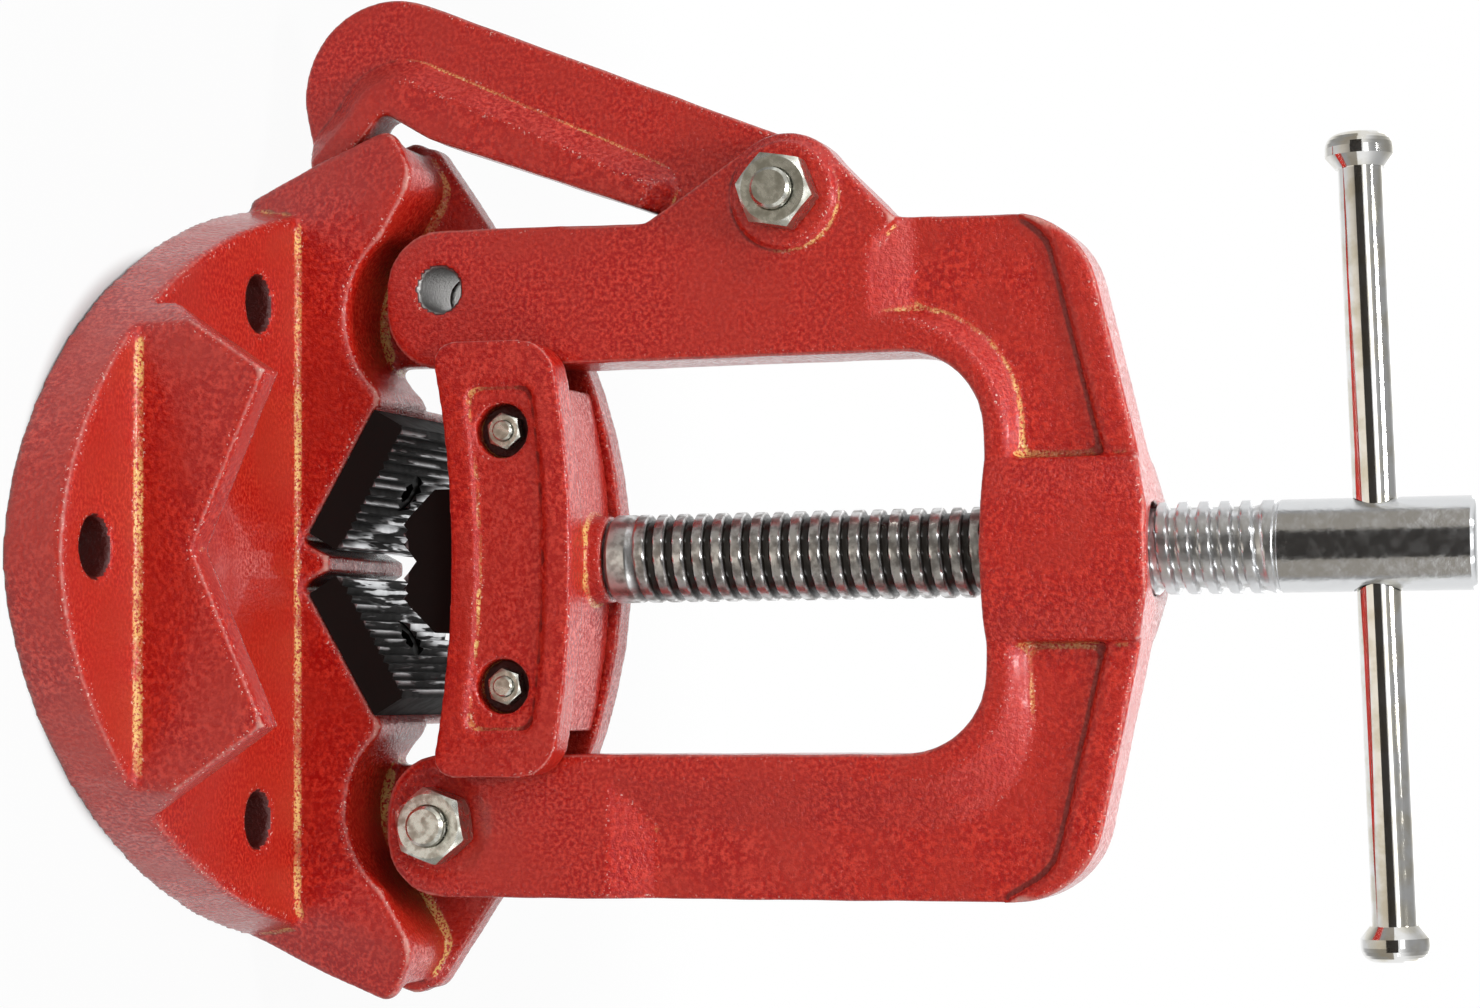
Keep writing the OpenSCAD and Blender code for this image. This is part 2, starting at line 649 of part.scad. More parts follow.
// One edge of an arched bar, from x = half_w to -half_w, as corners without rounding
function arched_edge(half_w, z, rise) =
    let (bow_r = (half_w * half_w + rise * rise) / (2 * rise), a = asin(half_w / bow_r))
    [for (p = arc([0, z - bow_r], bow_r, 90 - a, 90 + a, 10)) [p[0], p[1], 0]];
// The same edge with both ends rounded
function round_ends(pts, r) = [for (i = [0:len(pts) - 1])
    [pts[i][0], pts[i][1], i == 0 || i == len(pts) - 1 ? r : 0]];
function backwards(pts) = [for (i = [len(pts) - 1:-1:0]) pts[i]];
// Arched bar: its lower and upper edges rise to z0 and z1 at the middle and end in radii r0 and r1
module arched_outline(half_w, z0, z1, rise, r0, r1)
    polygon(rounded(concat(round_ends(arched_edge(half_w, z1, rise), r1),
        round_ends(backwards(arched_edge(half_w, z0, rise)), r0))));

// The carriage's front flange with the channel that its nuts sit in
module front_flange() difference() {
    channel_rise = flange_rise * pow(channel_half_w / flange_half_w, 2);
    slab(-flange_y - flange_t, -flange_y)
        arched_outline(flange_half_w, flange_z, flange_top_z, flange_rise, 5, 10);
    slab(-flange_y - flange_t - cut, -flange_y - flange_t + channel_d)
        arched_outline(channel_half_w, flange_z + channel_margin, flange_top_z - channel_margin,
            channel_rise, 4, 4);
}

module jaw_carriage() color("firebrick") difference() {
    union() {
        front_flange();
        slab(-flange_y - cut, flange_y)
            arched_outline(block_half_w, flange_z, flange_top_z - 0.6, flange_rise, 0, 0);
        translate([0, 0, flange_top_z - flange_h / 2]) cylinder(d = leg_t, h = flange_h / 2 + collar_h);
    }
    slab(-flange_y, flange_y + cut) translate([-upper_half_w - seat_gap, 0])
        square([2 * (upper_half_w + seat_gap), upper_top_z + seat_gap]);
    for (x = [-guide_bolt_x, guide_bolt_x]) {
        bar_y(guide_bolt_d + 2 * seat_gap, [x, guide_bolt_z], -flange_y - flange_t - cut, flange_y + cut);
        bar_y(guide_recess_d, [x, guide_bolt_z], -flange_y - flange_t - cut,
            -flange_y - flange_t + guide_recess_depth);
    }
    translate([0, 0, journal_z - slide_gap])
        cylinder(d = journal_d + 2 * turn_fit, h = journal_l + collar_h + slide_gap + cut);
    for (x = [-spindle_pin_x, spindle_pin_x])
        bar_y(spindle_pin_d + 2 * seat_gap, [x, spindle_pin_z], flange_y - spindle_pin_l, flange_y + cut);
    bar_y(upper_pin_d + 2 * seat_gap, [0, upper_pin_z], flange_y - upper_pin_l, flange_y + cut);
}

module rear_guide_plate() color("firebrick") difference() {
    slab(flange_y, flange_y + guide_t)
        arched_outline(flange_half_w, flange_z, flange_top_z + 2, guide_rise, 4, 4);
    both_sides() bar_y(2 * (hinge_wall_r + 7), [hinge_x, hinge_z], flange_y - cut, flange_y + guide_t + cut);
    for (x = [-guide_bolt_x, guide_bolt_x])
        bar_y(guide_bolt_d + 2 * seat_gap, [x, guide_bolt_z], flange_y - cut, flange_y + guide_t + cut);
}

guide_nut_y = -flange_y - flange_t + guide_recess_depth;

module guide_bolts() color("silver") for (x = [-guide_bolt_x, guide_bolt_x]) {
    bar_y(guide_bolt_d, [x, guide_bolt_z], guide_nut_y - guide_nut_h - 1.5, flange_y + guide_t + cut);
    hex_y(guide_nut_af, [x, guide_bolt_z], flange_y + guide_t, flange_y + guide_t + guide_bolt_d * 0.7);
}

module guide_nuts() color("silver") for (x = [-guide_bolt_x, guide_bolt_x]) difference() {
    hex_y(guide_nut_af, [x, guide_bolt_z], guide_nut_y - guide_nut_h, guide_nut_y, 10);
    bar_y(guide_bolt_d, [x, guide_bolt_z], guide_nut_y - guide_nut_h - cut, guide_nut_y + cut);
}

// Outline of the upper jaw: a narrow toothed nose with a small V, and straight sides above
module upper_jaw_outline() {
    nose = upper_half_w * 0.6;
    teeth = floor((nose - upper_notch[0]) / tooth_pitch);
    half = concat([[0, upper_z + upper_notch[1]], [upper_notch[0], upper_z + tooth_h]],
        [for (i = [0:teeth - 1]) each [[upper_notch[0] + (i + 0.5) * tooth_pitch, upper_z],
            [upper_notch[0] + (i + 1) * tooth_pitch, upper_z + tooth_h]]],
        [[nose, upper_z + tooth_h], [upper_half_w, upper_z + 8.5], [upper_half_w, upper_top_z]]);
    polygon(concat(half, flip(half)));
}

module upper_jaw() color("dimgray") difference() {
    slab(-flange_y + seat_gap, flange_y - seat_gap) upper_jaw_outline();
    bar_y(upper_pin_d + 2 * seat_gap, [0, upper_pin_z], -leg_t, leg_t);
}

module upper_jaw_pin() color("silver")
    bar_y(upper_pin_d, [0, upper_pin_z], flange_y - upper_pin_l + slide_gap, flange_y - seat_gap);

module spindle() color("silver") difference() {
    union() {
        translate([0, 0, journal_z]) cylinder(d = journal_d, h = screw_z - journal_z + cut);
        translate([0, 0, screw_z]) cylinder(d = screw_d, h = screw_l - screw_chamfer);
        translate([0, 0, screw_top_z - screw_chamfer])
            cylinder(d1 = screw_d, d2 = screw_d - 2 * screw_chamfer, h = screw_chamfer);
    }
    translate([0, 0, spindle_pin_z - groove_h / 2]) difference() {
        cylinder(d = journal_d + cut, h = groove_h);
        translate([0, 0, -cut]) cylinder(d = groove_d, h = groove_h + 2 * cut);
    }
    translate([-screw_d, 0, handle_z]) rotate([0, 90, 0]) cylinder(d = handle_hole_d, h = 2 * screw_d);
}

module spindle_pins() color("silver") for (x = [-spindle_pin_x, spindle_pin_x])
    bar_y(spindle_pin_d, [x, spindle_pin_z], flange_y - spindle_pin_l + slide_gap, flange_y - seat_gap);

// Frame of the handle: X along the tilted bar, from the middle of its hole
module handle_place() translate([0, 0, handle_z]) rotate([0, -handle_tilt, 0]) children();

module handle_bar() color("gainsboro") handle_place() translate([-handle_l / 2 + 1, 0, 0])
    rotate([0, 90, 0]) cylinder(d = bar_d, h = handle_l - 2);

// Turned knob with a cone towards the bar and a rounded end, pressed on the end of the bar
module knob() {
    round_r = knob_l * 0.42;
    cone_l = knob_l * 0.34;
    lip = bar_d * 0.06;
    rotate([0, 90, 0]) difference() {
        rotate_extrude() polygon(concat([[0, 0], [bar_d / 2 + lip, 0], [knob_d / 2, cone_l]],
            arc([knob_d / 2 - round_r, knob_l - round_r], round_r, 0, 90, 6), [[0, knob_l]]));
        translate([0, 0, -cut]) cylinder(d = bar_d, h = knob_l + cut - 1);
    }
}

module handle_knob_right() color("gainsboro")
    handle_place() translate([handle_l / 2 - knob_l, 0, 0]) knob();

module handle_knob_left() color("gainsboro")
    handle_place() mirror([1, 0, 0]) translate([handle_l / 2 - knob_l, 0, 0]) knob();

base_casting();
lower_jaw_left();
lower_jaw_right();
lower_jaw_screws();
hinge_bolt();
hinge_nut();
yoke_casting();
latch_hook();
latch_bolt();
latch_nut();
jaw_carriage();
rear_guide_plate();
guide_bolts();
guide_nuts();
upper_jaw();
upper_jaw_pin();
spindle();
spindle_pins();
handle_bar();
handle_knob_left();
handle_knob_right();
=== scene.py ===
"""Looks of a bench yoke vise for pipe: sand-cast red enamel, toothed jaws, a threaded screw, a T-handle."""

import json
import logging
import math
from dataclasses import dataclass
from enum import Enum
from typing import Callable, Sequence

import bmesh
import bpy
import numpy as np
from mathutils import Matrix, Vector, noise


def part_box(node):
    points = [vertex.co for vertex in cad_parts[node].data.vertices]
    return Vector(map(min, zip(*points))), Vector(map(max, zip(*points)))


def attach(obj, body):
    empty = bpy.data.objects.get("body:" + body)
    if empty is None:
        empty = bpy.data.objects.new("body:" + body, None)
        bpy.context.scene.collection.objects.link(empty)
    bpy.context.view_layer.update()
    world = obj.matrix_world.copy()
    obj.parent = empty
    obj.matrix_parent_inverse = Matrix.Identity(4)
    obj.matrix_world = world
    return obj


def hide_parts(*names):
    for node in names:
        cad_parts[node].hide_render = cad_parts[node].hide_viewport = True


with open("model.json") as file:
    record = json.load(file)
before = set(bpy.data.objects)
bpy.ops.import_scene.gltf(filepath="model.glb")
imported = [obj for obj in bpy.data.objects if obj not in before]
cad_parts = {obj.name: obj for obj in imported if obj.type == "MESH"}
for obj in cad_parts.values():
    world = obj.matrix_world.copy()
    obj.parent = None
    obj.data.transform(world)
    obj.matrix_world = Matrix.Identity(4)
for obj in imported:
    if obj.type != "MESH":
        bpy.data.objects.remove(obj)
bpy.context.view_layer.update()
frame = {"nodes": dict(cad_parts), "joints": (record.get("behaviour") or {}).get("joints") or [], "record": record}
log = logging.getLogger("vise")

MM = 0.001
TURN = 2.0 * math.pi
SHARP = math.radians(28.0)
UP = Vector((0.0, 0.0, 1.0))
ALONG_PIPE = Vector((0.0, 1.0, 0.0))
WHITE = (1.0, 1.0, 1.0, 1.0)
Color = tuple[float, float, float, float]
Span = tuple[float, float]
Profile = Sequence[tuple[float, float]]


class Slot(Enum):
    """The record's finishes, one name for each kind of new piece. Solids that stay in sight keep their own."""

    ENAMEL = "red_enamel"
    ZINC = "zinc_steel"
    SCREW = "screw_steel"


class Hole(Enum):
    """What the wall of a hole is like, as the value that the enamel's shader reads: painted shade in the bolt
    holes and recesses, bare iron in the pin's hole.
    """

    PAINTED_SHADE = 0.5
    BARE_IRON = 1.0


class Tree:
    """A node tree with short calls that add, set and link its nodes."""

    def __init__(self, tree: bpy.types.NodeTree) -> None:
        """Wrap a node tree."""
        self.nodes = tree.nodes
        self.links = tree.links

    def feed(self, socket: bpy.types.NodeSocket, value: object) -> None:
        """Link a socket to another node's output, or set its value.

        Args:
            socket: the input to feed.
            value: the output to link, or the value to set.
        """
        if isinstance(value, bpy.types.NodeSocket):
            self.links.new(value, socket)
        else:
            socket.default_value = value

    def add(self, kind: str, inputs: dict | None = None, **settings: object) -> bpy.types.Node:
        """Add a node.

        Args:
            kind: Blender's name of the node type.
            inputs: values or outputs for its sockets, by name or number.
            settings: the node's own properties.

        Returns:
            The new node.
        """
        node = self.nodes.new(kind)
        for key, value in settings.items():
            setattr(node, key, value)
        for key, value in (inputs or {}).items():
            self.feed(node.inputs[key], value)
        return node

    def math(self, operation: str, *values: object) -> bpy.types.NodeSocket:
        """Add a math node over one to three values and return its output."""
        return self.add("ShaderNodeMath", dict(enumerate(values)), operation=operation).outputs[0]

    def mix(self, share: object, first: object, second: object) -> bpy.types.NodeSocket:
        """Mix two colours by a share and return the mixed colour."""
        return self.add("ShaderNodeMix", {0: share, 6: first, 7: second}, data_type="RGBA").outputs[2]

    def step(self, value: object, low: float, high: float) -> bpy.types.NodeSocket:
        """Return a soft step of a value, from 0 at low to 1 at high."""
        inputs = {"Value": value, "From Min": low, "From Max": high}
        return self.add("ShaderNodeMapRange", inputs, interpolation_type="SMOOTHSTEP").outputs[0]

    def noise(self, scale: object, detail: float, at: object) -> bpy.types.NodeSocket:
        """Return the value of a noise texture at a point."""
        inputs = {"Vector": at, "Scale": scale, "Detail": detail}
        return self.add("ShaderNodeTexNoise", inputs).outputs[0]

    def here(self) -> bpy.types.NodeSocket:
        """Return the point on the piece, in the part's own frame."""
        return self.add("ShaderNodeTexCoord").outputs["Object"]


Sockets = dict[str, bpy.types.NodeSocket]
Wiring = Callable[[Tree, bpy.types.NodeOutputs], Sockets]


def effect_group(name: str, inputs: dict[str, float], outputs: Sequence[str],
                 wire: Wiring) -> bpy.types.NodeTree:
    """Build a shader node group that several finishes share.

    Args:
        name: the group's name.
        inputs: its inputs and their usual values.
        outputs: the names of the values that it gives.
        wire: a function that fills the tree and returns the socket for each output.

    Returns:
        The group.
    """
    group = bpy.data.node_groups.new(name, "ShaderNodeTree")
    for label, usual in inputs.items():
        entry = group.interface.new_socket(name=label, in_out="INPUT", socket_type="NodeSocketFloat")
        entry.default_value = usual
    for label in outputs:
        group.interface.new_socket(name=label, in_out="OUTPUT", socket_type="NodeSocketFloat")
    tree = Tree(group)
    sources = tree.add("NodeGroupInput").outputs
    sink = tree.add("NodeGroupOutput")
    for label, socket in wire(tree, sources).items():
        tree.links.new(socket, sink.inputs[label])
    return group


@dataclass(frozen=True)
class CastGrain:
    """Grain of paint over a sand casting: pebbles, fine pits and a patchy haze that evens the pebbles."""

    detail: float = 2.0
    haze_detail: float = 1.0
    pit_ratio: float = 2.6
    haze_ratio: float = 0.05
    haze_span: Span = (0.30, 0.78)
    pit_share: float = 0.35
    fleck_span: Span = (0.36, 0.72)
    evening: float = 0.4

    def wire(self, tree: Tree, given: bpy.types.NodeOutputs) -> Sockets:
        """Fill the group.

        Args:
            tree: the group's tree.
            given: the group's inputs: Scale, that of the pebbles.

        Returns:
            Height of the grain, Pebbles from low to high, and Haze.
        """
        at = tree.here()
        pit_scale = tree.math("MULTIPLY", given["Scale"], self.pit_ratio)
        haze_scale = tree.math("MULTIPLY", given["Scale"], self.haze_ratio)
        pebbles = tree.noise(given["Scale"], self.detail, at)
        pits = tree.noise(pit_scale, self.detail, at)
        haze = tree.step(tree.noise(haze_scale, self.haze_detail, at), *self.haze_span)
        coarse = tree.math("MULTIPLY", pebbles, 1.0 - self.pit_share)
        height = tree.math("MULTIPLY_ADD", pits, self.pit_share, coarse)
        fleck = tree.step(pebbles, *self.fleck_span)
        to_even = tree.math("SUBTRACT", 0.5, fleck)
        evened = tree.math("MULTIPLY_ADD", tree.math("MULTIPLY", haze, self.evening), to_even, fleck)
        return {"Height": height, "Pebbles": evened, "Haze": haze}


@dataclass(frozen=True)
class EdgeLines:
    """Painted highlights on a casting, pale flecks on its ridges and glinting lines in its upward creases, and
    painted shade in its downward ones.
    """

    detail: float = 2.0
    bent_span: Span = (0.07, 0.24)
    hollow_span: Span = (0.20, 0.30)
    ridge_span: Span = (0.40, 0.75)
    ridge_share: float = 0.60
    fleck_span: Span = (0.38, 0.54)
    glint_span: Span = (0.64, 0.70)
    glint_patch_span: Span = (0.38, 0.56)
    glint_patch_least: float = 0.25
    upward_span: Span = (-0.12, 0.22)

    def wire(self, tree: Tree, given: bpy.types.NodeOutputs) -> Sockets:
        """Fill the group.

        Args:
            tree: the group's tree.
            given: the group's inputs: the scales of the flecks and of the patches where the painted highlights in
                the creases are fuller.

        Returns:
            The masks Ridge and Crease, of painted highlights, and Shade, of painted shade.
        """
        bend = tree.add("ShaderNodeAttribute", attribute_name="bend").outputs["Fac"]
        bent = tree.step(tree.math("ABSOLUTE", bend), *self.bent_span)
        hollow = tree.step(tree.math("MULTIPLY", bend, -1.0), *self.hollow_span)
        place = tree.add("ShaderNodeTexCoord").outputs
        grit = tree.noise(given["Fleck"], self.detail, place["Object"])
        fleck = tree.step(grit, *self.fleck_span)
        # Patches where the painted highlights in the creases are fuller; elsewhere they keep a least share.
        glint_patches = tree.step(tree.noise(given["Dust"], self.detail, place["Object"]), *self.glint_patch_span)
        dust = tree.math("MULTIPLY_ADD", glint_patches, 1.0 - self.glint_patch_least, self.glint_patch_least)
        crease_glints = tree.math("MULTIPLY", fleck, dust)
        rise = tree.add("ShaderNodeSeparateXYZ", {0: place["Normal"]}).outputs["Z"]
        upward = tree.step(rise, *self.upward_span)
        # Painted glints: pale flecks on bent edges that face upwards.
        ridge_glints = tree.math("MULTIPLY", bent, tree.step(grit, *self.glint_span))
        ridge_glints = tree.math("MULTIPLY", ridge_glints, upward)
        # Painted highlight along every sharp ridge, joined with the painted glints.
        rubbed = tree.math("MULTIPLY", tree.step(bend, *self.ridge_span), self.ridge_share)
        ridge = tree.math("MAXIMUM", rubbed, ridge_glints)
        # Painted highlight in upward creases, painted shade in downward ones.
        crease = tree.math("MULTIPLY", tree.math("MULTIPLY", hollow, upward), crease_glints)
        shade = tree.math("MULTIPLY", hollow, tree.math("SUBTRACT", 1.0, upward))
        return {"Ridge": ridge, "Crease": crease, "Shade": shade}


@dataclass(frozen=True)
class ToolMarks:
    """Fine marks on bare metal, drawn out along Y where Along is the smaller scale, and smudges."""

    detail: float = 3.0
    smudge_span: Span = (0.38, 0.66)

    def wire(self, tree: Tree, given: bpy.types.NodeOutputs) -> Sockets:
        """Fill the group.

        Args:
            tree: the group's tree.
            given: the group's inputs: Across and Along, the marks' scales, and Smudge, that of the smudges.

        Returns:
            Marks, their height, and the mask Smudge.
        """
        at = tree.here()
        scales = {"X": given["Across"], "Y": given["Along"], "Z": given["Across"]}
        squeeze = tree.add("ShaderNodeCombineXYZ", scales).outputs[0]
        drawn = tree.add("ShaderNodeVectorMath", {0: at, 1: squeeze}, operation="MULTIPLY").outputs[0]
        marks = tree.noise(1.0, self.detail, drawn)
        smudge = tree.noise(given["Smudge"], self.detail, at)
        return {"Marks": marks, "Smudge": tree.step(smudge, *self.smudge_span)}


class Effects:
    """The shared shader groups, each built once."""

    def __init__(self) -> None:
        """Build the groups."""
        self.grain = effect_group("cast_grain", {"Scale": 1000.0}, ("Height", "Pebbles", "Haze"),
                                  CastGrain().wire)
        self.lines = effect_group("edge_lines", {"Fleck": 1500.0, "Dust": 75.0},
                                  ("Ridge", "Crease", "Shade"), EdgeLines().wire)
        self.marks = effect_group("tool_marks", {"Across": 900.0, "Along": 900.0, "Smudge": 220.0},
                                  ("Marks", "Smudge"), ToolMarks().wire)

    @staticmethod
    def place(tree: Tree, group: bpy.types.NodeTree, **values: float) -> bpy.types.NodeOutputs:
        """Put a group into a material.

        Args:
            tree: the material's tree.
            group: the group to place.
            values: the group's inputs in this material.

        Returns:
            The group's outputs.
        """
        node = tree.add("ShaderNodeGroup", node_tree=group)
        for label, value in values.items():
            node.inputs[label].default_value = value
        return node.outputs


def new_finish(name: str) -> tuple[bpy.types.Material, Tree, bpy.types.Node]:
    """Make an empty material.

    Args:
        name: the material's name.

    Returns:
        The material, its tree and its main shader.
    """
    material = bpy.data.materials.new(name)
    material.use_nodes = True
    tree = Tree(material.node_tree)
    shader = material.node_tree.nodes["Principled BSDF"]
    return material, tree, shader


def raise_grain(tree: Tree, shader: bpy.types.Node, height: bpy.types.NodeSocket, strength: float,
                depth: float) -> None:
    """Bend a shader's normal by a height, in metres of depth."""
    bump = tree.add("ShaderNodeBump", {"Height": height, "Strength": strength, "Distance": depth})
    tree.feed(shader.inputs["Normal"], bump.outputs[0])


@dataclass(frozen=True)
class EnamelFinish:
    """Glossy red enamel over a sand casting, with painted shade in its bolt holes, nut recesses, downward creases
    and the gaps between parts, painted highlights on its ridges and upward creases, and worn off in the pin's
    hole.
    """

    deep: Color = (0.43, 0.002, 0.001, 1.0)
    bright: Color = (0.78, 0.042, 0.020, 1.0)
    haze: Color = (0.50, 0.024, 0.011, 1.0)
    ridge: Color = (0.98, 0.76, 0.64, 1.0)
    crease: Color = (1.0, 0.66, 0.20, 1.0)
    shade: Color = (0.10, 0.006, 0.004, 1.0)
    gap_shade: Color = (0.020, 0.005, 0.004, 1.0)
    hole: Color = (0.075, 0.007, 0.005, 1.0)
    iron: Color = (0.36, 0.35, 0.34, 1.0)
    haze_share: float = 0.55
    shade_share: float = 0.70
    ridge_share: float = 0.80
    crease_share: float = 0.80
    gap_shade_share: float = 0.85
    grain_scale: float = 1000.0
    grain_depth: float = 0.60 * MM
    grain_strength: float = 1.0
    fleck_scale: float = 1500.0
    glint_patch_scale: float = 75.0
    gap: float = 14.0 * MM
    gap_span: Span = (0.12, 0.48)
    gap_rays: int = 6
    hole_span: Span = (0.15, 0.35)
    iron_span: Span = (0.65, 0.85)
    roughness: float = 0.12
    haze_roughness: float = 0.10
    hole_roughness: float = 0.20
    film: float = 0.60
    film_ior: float = 1.40
    film_roughness: float = 0.10

    def make(self, effects: Effects) -> bpy.types.Material:
        """Build the material.

        Args:
            effects: the shared groups.

        Returns:
            The material.
        """
        material, tree, shader = new_finish("red_enamel")
        grain = effects.place(tree, effects.grain, Scale=self.grain_scale)
        lines = effects.place(tree, effects.lines, Fleck=self.fleck_scale, Dust=self.glint_patch_scale)
        bore = tree.add("ShaderNodeAttribute", attribute_name="bore").outputs["Fac"]
        inside = tree.step(bore, *self.hole_span)
        bare = tree.step(bore, *self.iron_span)
        paint = tree.mix(grain["Pebbles"], self.deep, self.bright)
        # Painted shade: where the occlusion test finds a narrow gap between parts, the paint turns near black.
        gaps = tree.add("ShaderNodeAmbientOcclusion", {"Distance": self.gap}, samples=self.gap_rays)
        closed = tree.math("SUBTRACT", 1.0, tree.step(gaps.outputs["AO"], *self.gap_span))
        # Layers over the paint: its patchy tone, painted shade in downward creases, painted highlights on ridges
        # and in upward creases, and painted shade in the gaps.
        layers = ((grain["Haze"], self.haze_share, self.haze),
                  (lines["Shade"], self.shade_share, self.shade),
                  (lines["Ridge"], self.ridge_share, self.ridge),
                  (lines["Crease"], self.crease_share, self.crease),
                  (closed, self.gap_shade_share, self.gap_shade))
        for mask, share, color in layers:
            paint = tree.mix(tree.math("MULTIPLY", mask, share), paint, color)
        # Painted shade: the walls of the bolt holes and nut recesses are coloured near black-red.
        paint = tree.mix(inside, paint, self.hole)
        tree.feed(shader.inputs["Base Color"], tree.mix(bare, paint, self.iron))
        tree.feed(shader.inputs["Metallic"], bare)
        rough = tree.math("MULTIPLY_ADD", grain["Haze"], self.haze_roughness, self.roughness)
        tree.feed(shader.inputs["Roughness"], tree.math("MULTIPLY_ADD", inside, self.hole_roughness, rough))
        film = tree.math("MULTIPLY_ADD", inside, -self.film, self.film)
        tree.feed(shader.inputs["Coat Weight"], tree.math("MULTIPLY", grain["Pebbles"], film))
        shader.inputs["Coat IOR"].default_value = self.film_ior
        shader.inputs["Coat Roughness"].default_value = self.film_roughness
        raise_grain(tree, shader, grain["Height"], self.grain_strength, self.grain_depth)
        return material


@dataclass(frozen=True)
class PlatedFinish:
    """Plated steel with fine tool marks, duller where it is smudged."""

    name: str
    clean: Color
    smudged: Color
    mark_across: float
    mark_along: float
    mark_strength: float
    mark_depth: float
    smudge_scale: float
    roughness: float
    smudge_roughness: float

    def make(self, effects: Effects) -> bpy.types.Material:
        """Build the material.

        Args:
            effects: the shared groups.

        Returns:
            The material.
        """
        material, tree, shader = new_finish(self.name)
        marks = effects.place(tree, effects.marks, Across=self.mark_across, Along=self.mark_along,
                              Smudge=self.smudge_scale)
        tree.feed(shader.inputs["Base Color"], tree.mix(marks["Smudge"], self.clean, self.smudged))
        shader.inputs["Metallic"].default_value = 1.0
        rough = tree.math("MULTIPLY_ADD", marks["Smudge"], self.smudge_roughness, self.roughness)
        tree.feed(shader.inputs["Roughness"], rough)
        raise_grain(tree, shader, marks["Marks"], self.mark_strength, self.mark_depth)
        return material


FASTENER_ZINC = PlatedFinish(
    name="zinc_plate", clean=(0.66, 0.66, 0.60, 1.0), smudged=(0.40, 0.39, 0.33, 1.0),
    mark_across=1500.0, mark_along=400.0, mark_strength=0.35, mark_depth=0.03 * MM,
    smudge_scale=420.0, roughness=0.24, smudge_roughness=0.14)
HANDLE_PLATE = PlatedFinish(
    name="polished_plate", clean=(0.80, 0.80, 0.79, 1.0), smudged=(0.66, 0.63, 0.55, 1.0),
    mark_across=500.0, mark_along=900.0, mark_strength=0.12, mark_depth=0.02 * MM,
    smudge_scale=160.0, roughness=0.05, smudge_roughness=0.07)


@dataclass(frozen=True)
class JawFinish:
    """Blackened steel, worn bright in streaks on the teeth's crests and towards the back of the V."""

    black: Color = (0.012, 0.011, 0.010, 1.0)
    bare: Color = (0.68, 0.69, 0.70, 1.0)
    rub_slope: float = 2.1
    rub_from: float = -18.0 * MM
    rub_fade: float = 6.0 * MM
    rub_share: float = 0.85
    crest_from: float = 0.25
    crest_share: float = 0.70
    rub_depth: float = 0.2 * MM
    streak_span: Span = (0.50, 0.57)
    smear_span: Span = (0.47, 0.53)
    smear_least: float = 0.03
    mark_across: float = 420.0
    mark_along: float = 45.0
    mark_strength: float = 0.5
    mark_depth: float = 0.06 * MM
    smudge_scale: float = 300.0
    smudge_roughness: float = 0.10
    soot_roughness: float = 0.60
    bare_roughness: float = 0.28
    soot_gloss: float = 0.10

    def make(self, effects: Effects, name: str, up: Vector, root: float, crest: float) -> bpy.types.Material:
        """Build the material.

        Args:
            effects: the shared groups.
            name: the material's name.
            up: direction out of the toothed face, for the half at positive X.
            root: distance along that direction to the roots of the teeth.
            crest: distance along it to the crests.

        Returns:
            The material.
        """
        material, tree, shader = new_finish(name)
        marks = effects.place(tree, effects.marks, Across=self.mark_across, Along=self.mark_along,
                              Smudge=self.smudge_scale)
        place = tree.add("ShaderNodeSeparateXYZ", {0: tree.here()}).outputs
        half_x = tree.math("ABSOLUTE", place["X"])
        height = tree.math("MULTIPLY_ADD", place["Z"], up.z, tree.math("MULTIPLY", half_x, up.x))
        tooth = tree.step(height, root + self.crest_from * (crest - root), crest)
        streak = tree.step(marks["Marks"], *self.streak_span)
        crest_worn = tree.math("MULTIPLY", tooth, tree.math("MULTIPLY", streak, self.crest_share))
        inward = tree.math("MULTIPLY_ADD", half_x, -self.rub_slope, place["Y"])
        behind = tree.step(inward, self.rub_from - self.rub_fade, self.rub_from + self.rub_fade)
        rubbed = tree.math("MULTIPLY", behind, tree.step(height, root - self.rub_depth, root))
        smear = tree.step(marks["Marks"], *self.smear_span)
        smear = tree.math("MULTIPLY_ADD", smear, 1.0 - self.smear_least, self.smear_least)
        rubbed = tree.math("MULTIPLY", tree.math("MULTIPLY", rubbed, smear), self.rub_share)
        worn = tree.math("MAXIMUM", crest_worn, rubbed)
        tree.feed(shader.inputs["Base Color"], tree.mix(worn, self.black, self.bare))
        tree.feed(shader.inputs["Metallic"], worn)
        polish = self.bare_roughness - self.soot_roughness
        rough = tree.math("MULTIPLY_ADD", marks["Smudge"], self.smudge_roughness, self.soot_roughness)
        tree.feed(shader.inputs["Roughness"], tree.math("MULTIPLY_ADD", worn, polish, rough))
        shader.inputs["Specular IOR Level"].default_value = self.soot_gloss
        raise_grain(tree, shader, marks["Marks"], self.mark_strength, self.mark_depth)
        return material


